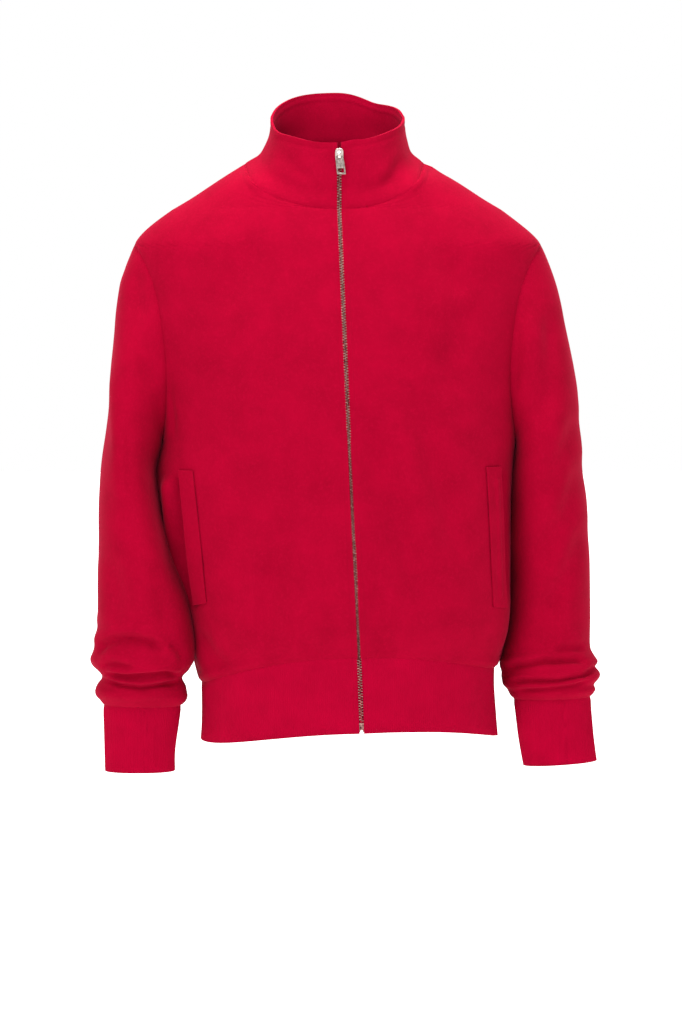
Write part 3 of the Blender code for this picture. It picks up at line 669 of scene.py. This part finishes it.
backFolds = [
    crease([(-150, -180), (-96, -260), (-70, -340)], 16, -2.2),
    crease([(140, -170), (96, -250), (84, -330)], 16, -2.2),
    crease([(-120, -420), (-60, -500), (-44, -590)], 14, -2.6),
    crease([(130, -400), (80, -500), (70, -596)], 14, -2.4),
    crease([(-160, -530), (-110, -580), (-60, -612)], 10, -2.2),
    crease([(160, -540), (120, -584), (60, -616)], 10, -2.2),
    crease([(0, -470), (10, -540), (4, -606)], 12, -1.8),
    crease([(-30, -60), (0, -70), (30, -60)], 12, -1.2),
]
frontLook = {"folds": frontFolds, "meets": (), "levels": 3}
panelLooks = {
    "front_left": {
        **frontLook,
        "piece": "frontLeft",
        "cut": (0.30, 0.64),
        "seed": 2.0,
        "mouth": crease([(190, -372), (193, -450), (196, -536)], 3.6, -4.0, 9),
    },
    "front_right": {
        **frontLook,
        "piece": "frontRight",
        "cut": (0.32, 0.64),
        "seed": 7.0,
        "mouth": crease([(-194, -378), (-190, -450), (-176, -540)], 4.6, -7.0, 9),
    },
    "back": {
        "piece": "backPanel",
        "cut": (0.62, 0.66),
        "seed": 13.0,
        "folds": backFolds,
        "mouth": None,
        "meets": ("front_left", "front_right"),
        "levels": 2,
    },
}
# How far the cloth stands off its plain form, in mm
drapeLook = {
    "waves": 1.6,
    "ripples": 0.5,
    "gathers": 1.3,  # over the band
    "besideArm": 0.9,
    "pressed": 2.5,  # beside the wearer's right arm, where it lies on the body
    "pressHeight": -430,
    "pressSpread": 95,
    "bandFrom": -585,  # from this height down it blouses over the band
    "bandSwell": {"rise": 3.1, "away": 7.0, "width": 5.0},
    "neckSwell": {"rise": 2.0, "away": 4.5, "width": 3.5},  # the thick neck seam lifts it
}
# Just under the collar the two fronts nearly meet over the teeth
closeLook = {"height": -82, "spread": 17, "wide": 18, "shift": 0.6}


def armPress(z):
    # the heights at which an arm and the body press together
    return math.exp(-(((z - drapeLook["pressHeight"]) / drapeLook["pressSpread"]) ** 4))


def clothRise(look):
    folds, seed = look["folds"], look["seed"]

    def rise(co, normal):
        z = co.z / mm
        creases = foldRise((co.x / mm, z), folds) * soften(abs(normal.y) * 2.2)
        gathers = drift(co, (16, 60, 70), seed + 9) * drapeLook["gathers"] * soften((-560 - z) / 60)
        waves = drift(co, (120, 150, 210), seed) * drapeLook["waves"]
        waves += drift(co, (46, 60, 90), seed + 4) * drapeLook["ripples"]
        beside = soften(abs(normal.x) * 2 - 0.6) * soften((-350 - z) / 40) * soften((z + 640) / 60)
        pressed = soften(-normal.x * 2 - 0.6) * armPress(z)
        beside = beside * drapeLook["besideArm"] + pressed * drapeLook["pressed"]
        return creases + waves * soften((-90 - z) / 60) + gathers + beside

    return rise


def topstitch(co, normal):
    # the cloth is drawn in along the stitch line beside the zip
    away = abs(co.x / mm - zipX(co.z / mm))
    if normal.y > -0.3 or away > 16:
        return 0.0
    return -zipLook["stitchSink"] * bell(away - zipLook["stitchFromMiddle"], zipLook["stitchWide"])


def closeOver(bm):
    for v in bm.verts:
        z = v.co.z / mm
        away = v.co.x / mm - zipX(z)
        if v.co.y < 0 and abs(away) < closeLook["wide"]:
            share = bell(z - closeLook["height"], closeLook["spread"])
            share *= soften(1 - abs(away) / closeLook["wide"])
            v.co += Vector((math.copysign(-1, away), -1, 0)) * closeLook["shift"] * share * mm


def besideZip(co):
    return co.y < 0 and abs(co.x / mm - zipX(co.z / mm)) < 6


def swellAt(look, away):
    return look["rise"] * bell(away - look["away"], look["width"])


def seamSwell(co, away):
    band = soften((drapeLook["bandFrom"] - co.z / mm) / 20)
    shoulder = soften((co.z / mm + 60) / 30) * soften((122 - abs(co.x / mm)) / 20)
    overBand = swellAt(drapeLook["bandSwell"], away) * band
    return overBand + swellAt(drapeLook["neckSwell"], away) * shoulder


def makePanel(name, look):
    bm = refine(cadSheet(name), look["levels"])
    span = edgeSpan(bm, where=lambda co: not besideZip(co))
    rise = clothRise(look)

    def stand(co, normal):
        away = span(co)
        return rise(co, normal) * held(away) + seamDip(away) + topstitch(co, normal)

    def mouthRise(co, normal):
        return foldRise((co.x / mm, co.z / mm), [look["mouth"]]) if normal.y < 0.2 else 0.0

    displace(bm, stand)
    displace(bm, lambda co, normal: seamSwell(co, span(co)))
    if look["mouth"]:
        displace(bm, mouthRise)
        closeOver(bm)
    meetSeam(name, bm, look["meets"])
    turnUnder(bm)
    return bm


surfaces = {}  # what stitches are laid on, by its CAD name
for name, look in panelLooks.items():
    bm = makePanel(name, look)
    surfaces[name] = BVHTree.FromBMesh(bm)
    finishCloth(look["piece"], bm, fleece, 2.0, name)
print("body panels draped")

# Sleeves: long soft creases down the arm, and the cloth pushed up above the cuff
sleeveLooks = {
    "sleeve_left": {
        "piece": "sleeveLeft",
        "seed": 21.0,
        "press": 1.0,  # how far its inner side is pressed out against the body, in mm
        "front": [
            crease([(290, -300), (262, -360), (240, -420)], 12, -2.6),
            crease([(296, -350), (268, -430), (228, -500)], 13, -3.0),
            crease([(298, -430), (270, -500), (236, -566)], 11, -2.4),
            crease([(214, -122), (208, -165), (205, -225), (203, -300)], 5, -1.9, 5),
            crease([(252, -180), (240, -260), (236, -330)], 12, -2.2),
            crease([(244, -174), (254, -245), (249, -316)], 9, -1.2),
            crease([(299, -607), (279, -603), (243, -603), (213, -610), (195, -616)], 3.2, -2.6, 6),
            crease([(308, -613), (291, -621), (261, -626), (225, -627), (199, -631)], 2.8, -2.6, 6),
            crease([(305, -626), (279, -633), (237, -638), (204, -640)], 2.4, -1.7, 5),
            crease([(294, -590), (273, -588), (251, -592)], 5, -1.8),
        ],
    },
    "sleeve_right": {
        "piece": "sleeveRight",
        "seed": 33.0,
        "press": 7.5,
        "front": [
            crease([(-246, -132), (-240, -170), (-228, -200)], 9, -1.6),
            crease([(-258, -150), (-240, -215), (-222, -290)], 11, -1.9),
            crease([(-272, -230), (-264, -320), (-254, -400), (-246, -450)], 8, 1.7),
            crease([(-240, -325), (-226, -400), (-206, -470), (-190, -535)], 15, -3.2),
            crease([(-268, -470), (-262, -520), (-268, -560)], 11, -1.6),
            crease([(-225, -479), (-213, -527), (-199, -565)], 7, -1.2),
            crease(
                [(-208, -585), (-224, -574), (-245, -570), (-264, -572), (-281, -580), (-290, -594)],
                4.4,
                -3.0,
                6,
            ),
            crease([(-240, -607), (-250, -604), (-269, -601), (-287, -607)], 3.4, -1.8),
            crease([(-189, -618), (-206, -613), (-225, -615), (-254, -617), (-280, -614)], 3.0, -2.8, 7),
            crease([(-188, -625), (-213, -627), (-236, -630), (-262, -627), (-282, -622)], 2.4, -2.0, 6),
            crease([(-203, -576), (-191, -588), (-186, -602)], 4, -1.8),
        ],
    },
}
# How far its cloth stands off its plain form, in mm
armLook = {
    "waves": 1.5,
    "ripples": 0.5,
    "bunch": 1.9,
    "fineBunch": 0.6,
    "bunchTop": -585,  # the heights between which the cloth is pushed up
    "bunchFoot": -652,
    "inner": 1.9,
}


def makeSleeve(name, look):
    bm = refine(cadSheet(name), 3)
    span = edgeSpan(bm)
    side = 1 if name.endswith("left") else -1
    seed = look["seed"]
    rear = []  # the same creases behind, a little higher
    for fold in look["front"]:
        rear.append({**fold, "points": [(x * 0.98 + side * 4, z + 22) for x, z in fold["points"]]})

    def rise(co, normal):
        z = co.z / mm
        p = (co.x / mm, z)
        facing = soften(-normal.y * 1.6 + 0.5)
        folds = foldRise(p, look["front"]) * facing + foldRise(p, rear) * (1 - facing) * 0.9
        bunch = drift(co, (34, 34, 11), seed) * armLook["bunch"]
        bunch += drift(co, (22, 22, 7), seed + 3) * armLook["fineBunch"]
        bunch *= soften((armLook["bunchTop"] - z) / 25) * soften((z - armLook["bunchFoot"]) / 10)
        waves = drift(co, (70, 70, 120), seed + 6) * armLook["waves"]
        waves += drift(co, (30, 30, 60), seed + 8) * armLook["ripples"]
        inner = soften((-300 - z) / 50) * soften((z + 640) / 40) * armLook["inner"]
        inner = soften(-side * normal.x) * (inner + armPress(z) * look["press"])
        away = span(co)
        total = folds + bunch + inner + waves * soften((-130 - z) / 60)
        return total * held(away, 7.0) + seamDip(away)

    displace(bm, rise)
    meetSeam(name, bm, ("front_" + name[7:], "back"))
    turnUnder(bm)
    return bm


for name, look in sleeveLooks.items():
    finishCloth(look["piece"], makeSleeve(name, look), fleece, 2.0, name)
print("sleeves draped")

# Collar
collarLook = {
    "cut": (0.50, 0.085),
    "slope": 0.62,  # of the plane between its two edges, that lies higher at the back
    "middleY": -18,
    "creases": 1.5,
    "bend": 2.2,
    "edgeStitch": {"sink": 0.5, "away": 7.5, "width": 1.8},
    "folds": [
        crease([(-76, 1), (-52, -22), (-24, -41)], 6, -0.6, 3),
        crease([(75, 1), (63, -26), (46, -50)], 5, -0.9, 3),
    ],
    # (degrees round from the zip to the wearer's left, spread, rise in mm): the upper edge waves
    # a little, and steps down at the back of the wearer's left
    "rim": [
        (146, 13, -3.2),
        (112, 14, 2.2),
        (178, 14, 1.0),
        (-45, 16, 2.2),
        (-75, 14, -1.5),
        (48, 18, 1.0),
        (12, 8, 1.5),
    ],
}


def makeCollar(look):
    bm = refine(cadSheet("collar"), 3)
    rim = [v.co.copy() for v in bm.verts if v.is_boundary]
    middle = sum(rim, Vector()) / len(rim)

    def low(co):
        return co.z < middle.z + (co.y - middle.y) * look["slope"]

    def sewn(co):
        return low(co) and not besideZip(co)

    def turnOf(co):
        return math.atan2(co.x, look["middleY"] * mm - co.y)

    span = edgeSpan(bm, where=sewn)
    topSpan = edgeSpan(bm, where=lambda co: not low(co))

    def rise(co, normal):
        away, fromTop = span(co), topSpan(co)
        lean = drift(co, (44, 44, 60), 41.0) * look["creases"]
        bend = -look["bend"] * bell(away - 19, 10) * (0.35 + 0.65 * abs(math.sin(turnOf(co))))
        stitch = look["edgeStitch"]
        edge = -stitch["sink"] * bell(fromTop - stitch["away"], stitch["width"])
        fold = foldRise((co.x / mm, co.z / mm), look["folds"]) if normal.y < 0 else 0.0
        return (lean + bend + fold) * held(away, 6.0) + edge + seamDip(away) + topstitch(co, normal)

    displace(bm, rise)
    for v in bm.verts:
        turn = math.degrees(turnOf(v.co))
        share = soften(1 - topSpan(v.co) / 34)
        drop = sum(d * bell((turn - at + 180) % 360 - 180, wide) for at, wide, d in look["rim"])
        v.co.z += drop * share * mm
    closeOver(bm)
    meetSeam("collar", bm, ("front_left", "front_right", "back"))
    turnUnder(bm, sewn, underlap)
    return bm


collar = makeCollar(collarLook)
surfaces["collar"] = BVHTree.FromBMesh(collar)
finishCloth("standCollar", collar, fleece, 3.0, "collar", roll=1.2)
print("collar rolled")

# Ribs: plain tubes, whose outsides are raised in narrow ridges
ribLook = {"pitchMm": 2.5, "riseMm": 0.55, "thickMm": 2.0, "standMm": 2.3}
cuffLook = {"cuts": 6, "wave": 1.0, "cut": (0.245, 0.08)}
ribPieces = {
    "cuffLeft": {**cuffLook, "node": "cuff_left", "seed": 51.0, "meets": ("sleeve_left",)},
    "cuffRight": {**cuffLook, "node": "cuff_right", "seed": 57.0, "meets": ("sleeve_right",)},
    "hemBand": {
        "node": "hem_band",
        "cuts": 11,
        "seed": 63.0,
        "wave": 1.4,
        "cut": (1.0, 0.075),
        "meets": ("front_left", "front_right", "back"),
    },
}


def ribAlong(bm, name, bins=720):
    # the way round the sheet to each point, in mm, from its own points sorted by angle
    low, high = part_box(name)
    centre = ((low[0] + high[0]) / 2, (low[1] + high[1]) / 2)

    def turn(co):
        return math.atan2(co.x - centre[0], -(co.y - centre[1]))

    sums = np.zeros((bins, 3))
    for v in bm.verts:
        k = min(int((turn(v.co) + math.pi) / (2 * math.pi) * bins), bins - 1)
        sums[k] += (v.co.x, v.co.y, 1)
    filled = sums[:, 2] > 0
    angles = (np.arange(bins) + 0.5) / bins * 2 * math.pi - math.pi
    angles, means = angles[filled], sums[filled, :2] / sums[filled, 2:]
    run = runOf(means) / mm
    return lambda co: float(np.interp(turn(co), angles, run)), run[-1]


def makeRib(piece):
    name = piece["node"]
    bm = refine(cadSheet(name, outer=False), 2)

    def stand(co, normal):
        return ribLook["standMm"] + drift(co, (30, 30, 50), piece["seed"]) * piece["wave"]

    displace(bm, stand)
    hoops = [e for e in bm.edges if abs(e.verts[0].co.z - e.verts[1].co.z) < e.calc_length() * 0.5]
    bmesh.ops.subdivide_edges(bm, edges=hoops, cuts=piece["cuts"], use_grid_fill=True)
    along, total = ribAlong(bm, name)
    ribs = int(total / ribLook["pitchMm"] + 0.5)
    heights = [v.co.z for v in bm.verts]
    middle = (min(heights) + max(heights)) / 2

    def sewn(co):
        return co.z > middle

    meetSeam(name, bm, piece["meets"])
    span = edgeSpan(bm, sewn)
    turnUnder(bm, sewn, underlap)
    for v, normal in thicken(bm, ribLook["thickMm"]):
        away = span(v.co)
        ridge = 0.5 + 0.5 * math.cos(along(v.co) / total * ribs * 2 * math.pi)
        v.co += normal * (ribLook["riseMm"] * ridge * held(away, 2.5) + seamDip(away, 0.4)) * mm
    return bm


for name, piece in ribPieces.items():
    bm = makeRib(piece)
    surfaces[piece["node"]] = BVHTree.FromBMesh(bm)
    finishCloth(name, bm, rib, None, piece["node"], roll=0.0)
print("ribs knitted")

# Pocket welts: strips over the mouths, that follow the folds of the fronts
for side in ("left", "right"):
    node = "pocket_welt_" + side
    bm = refine(cadSheet(node), 3)
    displace(bm, clothRise(panelLooks["front_" + side]))
    surfaces[node] = BVHTree.FromBMesh(bm)
    finishCloth("pocketWelt" + side.capitalize(), bm, fleece, 2.0, node, roll=0.6)
print("pockets welted")

# Zip tapes
for side in ("left", "right"):
    node = "zip_tape_" + side
    bm = refine(cadSheet(node), 1)
    finishCloth("zipTape" + side.capitalize(), bm, tape, 0.8, node, roll=0.0)


# Zip metal and thread
def addPiece(name, bm, finish, body, replaced):
    bmesh.ops.recalc_face_normals(bm, faces=bm.faces)
    made = toObject(name, bm, finish)
    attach(made, body)
    if replaced:
        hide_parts(replaced)


def roundEdges(bm, width, segments=2, angle=40):
    sharp = [e for e in bm.edges if len(e.link_faces) == 2 and e.calc_face_angle() > math.radians(angle)]
    bmesh.ops.bevel(
        bm,
        geom=sharp,
        offset=width * mm,
        offset_type="OFFSET",
        segments=segments,
        profile=0.5,
        affect="EDGES",
        material=-1,
        clamp_overlap=True,
    )


def addCopies(bm, template, places):
    # one copy of the template at each place
    for place in places:
        before = len(bm.verts)
        bm.from_mesh(template)
        bm.verts.ensure_lookup_table()
        bmesh.ops.transform(bm, matrix=place, verts=bm.verts[before:])


def makeTooth(look):
    # a struck tooth: a bar whose head, over the middle, is lower than its foot on the tape
    bm = bmesh.new()
    bmesh.ops.create_cube(bm, size=1)
    size = Vector((look["toothWide"], look["toothDeep"], look["toothHigh"])) * mm
    bmesh.ops.scale(bm, verts=bm.verts, vec=size)
    for v in bm.verts:
        v.co.x += look["toothOff"] * mm
        if v.co.x < 0:
            v.co.z *= look["headHigh"]
            if v.co.y < 0:
                v.co.y += look["headBack"] * mm
    roundEdges(bm, look["toothRound"], 1)
    return toMesh("tooth", bm)


def makeTeeth(look):
    bm = bmesh.new()
    tooth = makeTooth(look)
    places = []
    count = int(zipRun[-1] / look["pitch"])
    for k in range(count):
        for side in (0, 1):
            run = (k + 0.5 + side * 0.5) * look["pitch"]
            turn = Matrix.Rotation(math.pi * side, 4, "Z")
            sink = Matrix.Translation((0, (look["toothDeep"] / 2 - look["proud"]) * mm, 0))
            places.append(zipPlace(run) @ sink @ turn)
    addCopies(bm, tooth, places)
    bpy.data.meshes.remove(tooth)
    return bm


addPiece("zipTeeth", makeTeeth(zipLook), brass, "garment", "zip_chain")

boxLook = {
    "wide": 5.2,
    "deep": 3.9,
    "high": 9.0,
    "below": 5.4,  # its middle, under the zip's lower end
    "sink": 1.75,
    "panelInset": 1.1,
    "panelDeep": 0.35,
    "round": 0.7,
}


def makeBox(look):
    bm = bmesh.new()
    bmesh.ops.create_cube(bm, size=1)
    bmesh.ops.scale(bm, verts=bm.verts, vec=Vector((look["wide"], look["deep"], look["high"])) * mm)
    front = min(bm.faces, key=lambda f: f.calc_center_median().y)
    bmesh.ops.inset_individual(
        bm, faces=[front], thickness=look["panelInset"] * mm, depth=-look["panelDeep"] * mm
    )
    roundEdges(bm, look["round"], 3)
    place = zipPlace(-look["below"]) @ Matrix.Translation((0, look["sink"] * mm, 0))
    bmesh.ops.transform(bm, matrix=place, verts=bm.verts)
    return bm


addPiece("zipBox", makeBox(boxLook), brass, "garment", "zip_box")

sliderLook = {
    # (height, half width) of its plates, in mm from the tab's bar
    "plate": [
        (-7.5, 2.4),
        (-6.9, 3.3),
        (-5.0, 4.4),
        (-1.0, 4.7),
        (4.0, 4.8),
        (6.4, 4.4),
        (8.2, 3.2),
        (8.6, 2.2),
    ],
    "post": [(4.8, 1.1), (8.0, 1.1)],
    "front": (0.75, 2.05),  # how far out of the cloth
    "back": (-6.7, -5.6),
    "bridgeWide": 3.2,
    "bridgeReach": 4.5,  # half its length along the zip
    "bridgeRise": 3.6,
    "bridgeThick": 1.0,
    "bridgeUp": 0.7,
    "overlap": 0.3,  # of the post and the plates it joins
    "sink": 0.4,  # from the teeth's front to the cloth's
    "round": 0.4,
}
hinge = Vector(frame["joints"][0]["pos_m"])
onZip = zipPlace(float(np.interp(hinge.z / mm, zipLine[:, 2], zipRun)))
onZip.translation += (onZip.to_3x3() @ Vector((0, 1, 0))) * sliderLook["sink"] * mm


def plateOf(rows, near, far):
    # a plate of these (height, half width) rows, between two distances out of the cloth
    bm = bmesh.new()
    bmesh.ops.create_grid(bm, x_segments=2, y_segments=len(rows) - 1, size=1)
    for v in bm.verts:
        height, half = rows[int((v.co.y + 1) / 2 * (len(rows) - 1) + 0.5)]
        v.co = Vector((v.co.x * half, -near, height)) * mm
    made = bmesh.ops.extrude_face_region(bm, geom=bm.faces[:])["geom"]
    out = Vector((0, (near - far) * mm, 0))
    bmesh.ops.translate(bm, verts=vertsOf(made), vec=out)
    bmesh.ops.recalc_face_normals(bm, faces=bm.faces)
    return bm


def makeBridge(look):
    # a strap bent over from the plate's head to its foot, that the tab's bar hangs in
    bm = bmesh.new()
    wide, thick, reach = look["bridgeWide"], look["bridgeThick"], look["bridgeReach"]
    bmesh.ops.create_grid(bm, x_segments=2, y_segments=1, size=0.5)
    for v in bm.verts:
        v.co = Vector((v.co.x * wide, 0, reach - thick / 2 + v.co.y * thick)) * mm
    bmesh.ops.spin(
        bm,
        geom=bm.faces[:],
        cent=(0, 0, 0),
        axis=(1, 0, 0),
        dvec=(0, 0, 0),
        angle=-math.pi,
        steps=16,
        use_duplicate=False,
    )
    bmesh.ops.scale(bm, verts=bm.verts, vec=(1, -look["bridgeRise"] / reach, 1))
    bmesh.ops.recalc_face_normals(bm, faces=bm.faces)
    foot = Vector((0, 0.2 - look["front"][1], look["bridgeUp"])) * mm
    bmesh.ops.translate(bm, verts=bm.verts, vec=foot)
    return bm


def makeSlider(look):
    bm = bmesh.new()
    lap = look["overlap"]
    parts = [
        plateOf(look["plate"], *look["front"]),
        plateOf(look["plate"], *look["back"]),
        plateOf(look["post"], look["back"][1] - lap, look["front"][0] + lap),
        makeBridge(look),
    ]
    for part in parts:
        roundEdges(part, look["round"], 3)
        mesh = toMesh("part", part)
        bm.from_mesh(mesh)
        bpy.data.meshes.remove(mesh)
    bmesh.ops.transform(bm, matrix=onZip, verts=bm.verts)
    return bm


addPiece("zipSlider", makeSlider(sliderLook), nickel, "garment", "zip_slider")

tabLook = {
    "columns": [-5.1, -3.4, -2.2, -0.75, 0.75, 2.2, 3.4, 5.1],
    # (height under the bar, share of the width)
    "rows": [
        (0.75, 0.72),
        (-0.65, 0.82),
        (-4.2, 0.92),
        (-5.6, 0.95),
        (-13.2, 1.0),
        (-14.6, 1.0),
        (-19.6, 1.0),
        (-21.6, 0.97),
    ],
    # (row, column) of the cells that are left open, or struck in
    "eye": [(1, 2), (1, 3), (1, 4)],
    "window": [(5, 1), (5, 2), (5, 3), (5, 4), (5, 5)],
    "grooves": [(3, 2), (3, 4)],
    "grooveInset": 0.15,
    "grooveDeep": 0.35,
    "thick": 1.2,
    "lean": 0.12,
    "round": 0.28,
}


def makeTab(look):
    bm = bmesh.new()
    columns, rows = look["columns"], look["rows"]
    across, down = len(columns) - 1, len(rows) - 1
    bmesh.ops.create_grid(bm, x_segments=across, y_segments=down, size=1)
    cells = {}
    for face in bm.faces:
        c = face.calc_center_median()
        cells[(int((1 - c.y) / 2 * down), int((c.x + 1) / 2 * across))] = face
    for v in bm.verts:
        column = columns[int((v.co.x + 1) / 2 * across + 0.5)]
        height, share = rows[int((1 - v.co.y) / 2 * down + 0.5)]
        v.co = Vector((column * share - look["lean"] * height, -look["thick"] / 2, height)) * mm
    holes = [cells.pop(key) for key in look["eye"] + look["window"]]
    grooves = [cells[key] for key in look["grooves"]]
    bmesh.ops.delete(bm, geom=holes, context="FACES")
    made = bmesh.ops.extrude_face_region(bm, geom=bm.faces[:], use_keep_orig=True)["geom"]
    bmesh.ops.translate(bm, verts=vertsOf(made), vec=(0, look["thick"] * mm, 0))
    bmesh.ops.recalc_face_normals(bm, faces=bm.faces)
    bmesh.ops.inset_region(
        bm, faces=grooves, thickness=look["grooveInset"] * mm, depth=-look["grooveDeep"] * mm
    )
    roundEdges(bm, look["round"], 2, 50)
    bmesh.ops.translate(bm, verts=bm.verts, vec=hinge)
    return bm


addPiece("pullTab", makeTab(tabLook), tabNickel, "pull_tab", "pull_tab")
print("zip closed")

# Stitches
seamLook = {"long": 2.7, "gap": 0.6, "thick": 0.36, "sink": 0.16}


def makeStitch(look):
    bm = bmesh.new()
    bmesh.ops.create_uvsphere(bm, u_segments=6, v_segments=5, radius=0.5 * mm)
    bmesh.ops.scale(bm, verts=bm.verts, vec=(look["thick"], look["thick"] * 0.8, look["long"]))
    return toMesh("stitch", bm)


def sew(name, lines, look):
    # stitches end to end along each line of (point, normal) in metres
    bm = bmesh.new()
    stitch = makeStitch(look)
    pitch = look["long"] + look["gap"]
    lift = (look["thick"] * 0.4 - look["sink"]) * mm
    for line in lines:
        points = np.array([p for p, n in line])
        normals = np.array([n for p, n in line])
        run = runOf(points) / mm
        places = []
        for k in range(int(run[-1] / pitch)):
            a = atRun(run, points, k * pitch)
            b = atRun(run, points, k * pitch + look["long"])
            out = atRun(run, normals, k * pitch)
            along = (b - a).normalized()
            across = along.cross(out).normalized()
            place = Matrix((across, across.cross(along), along)).transposed().to_4x4()
            place.translation = (a + b) / 2 + out.normalized() * lift
            places.append(place)
        addCopies(bm, stitch, places)
    bpy.data.meshes.remove(stitch)
    addPiece(name, bm, thread, "garment", None)


def onCloth(tree, x, z):
    # the point of the cloth that is seen from the front here, with its normal
    place, normal, _, _ = tree.ray_cast(Vector((x * mm, -0.4, z * mm)), Vector((0, 1, 0)))
    return (place, normal) if place else None


def lineOver(names, places):
    # the foremost cloth at each of these (x, z) in mm
    found = []
    for x, z in places:
        hits = [hit for hit in (onCloth(surfaces[name], x, z) for name in names) if hit]
        if hits:
            found.append(min(hits, key=lambda hit: hit[0].y))
    return found


zipLines = []
heights = range(-688, -10, 3)
for side, front in ((1, "front_left"), (-1, "front_right")):
    places = [(zipX(z) + side * zipLook["stitchFromMiddle"], z) for z in heights]
    zipLines.append(lineOver([front, "collar", "hem_band"], places))
sew("zipStitches", zipLines, seamLook)

# (x, z) in mm of the upper and the lower end of the stitches beside each welt's inner edge; at
# both ends they turn across the welt
weltStitches = {
    "left": {"ends": ((170.6, -373), (179.6, -544)), "across": 13},
    "right": {"ends": ((-173.4, -377), (-157.6, -528)), "across": -13},
}
for side, look in weltStitches.items():
    (x0, z0), (x1, z1) = look["ends"]
    steps = int((z0 - z1) / 2)
    runs = [[(x0 + (x1 - x0) * k / steps, z0 + (z1 - z0) * k / steps) for k in range(steps + 1)]]
    runs += [[(x + look["across"] * k / 6, z) for k in range(7)] for x, z in look["ends"]]
    lines = [lineOver(["pocket_welt_" + side], run) for run in runs]
    sew("pocketStitches" + side.capitalize(), [line for line in lines if len(line) > 2], seamLook)
print("seams stitched")

# Camera, light and floor
cameraLook = {"place": (0, -3.5, -0.2), "down": 3.73, "lens": 102.5}
camera = bpy.data.objects.new("camera", bpy.data.cameras.new("camera"))
camera.location = cameraLook["place"]
camera.rotation_euler = (math.radians(90 - cameraLook["down"]), 0, 0)
camera.data.lens = cameraLook["lens"]
camera.data.sensor_width = 36
bpy.context.scene.collection.objects.link(camera)
bpy.context.scene.camera = camera

lights = {
    "keyLight": {"place": (-1.3, -2.0, 1.9), "aim": -0.35, "size": 1.6, "power": 66},
    "fillLight": {"place": (2.2, -2.4, 0.4), "aim": -0.35, "size": 2.4, "power": 13},
    "neckLight": {"place": (0.0, -0.25, 0.75), "aim": -0.05, "size": 0.3, "power": 8},
    "topLight": {"place": (0.1, 0.3, 2.4), "aim": -0.35, "size": 2.0, "power": 66},
}
for name, look in lights.items():
    lamp = bpy.data.lights.new(name, "AREA")
    lamp.energy = look["power"]
    lamp.size = look["size"]
    holder = bpy.data.objects.new(name, lamp)
    holder.location = look["place"]
    aim = Vector((0, 0, look["aim"])) - holder.location
    holder.rotation_euler = aim.to_track_quat("-Z", "Y").to_euler()
    bpy.context.scene.collection.objects.link(holder)

world = bpy.data.worlds.new("studio")
world.use_nodes = True
background = world.node_tree.nodes["Background"]
background.inputs["Color"].default_value = (1, 1, 1, 1)
background.inputs["Strength"].default_value = 1.0
bpy.context.scene.world = world
bpy.context.scene.view_settings.view_transform = "Standard"

# White paper that sweeps on under the object, and glows a little, so that no shade falls on it
floorBm = bmesh.new()
bmesh.ops.create_grid(floorBm, x_segments=2, y_segments=2, size=14)
bmesh.ops.translate(floorBm, verts=floorBm.verts, vec=(0, 0, -1.1))
paperLook = {
    "Base Color": linear("#ffffff"),
    "Roughness": 0.9,
    "Emission Color": linear("#ffffff"),
    "Emission Strength": 0.6,
}
floor = toObject("studioFloor", floorBm, startMaterial("whitePaperSweep", paperLook)[0])
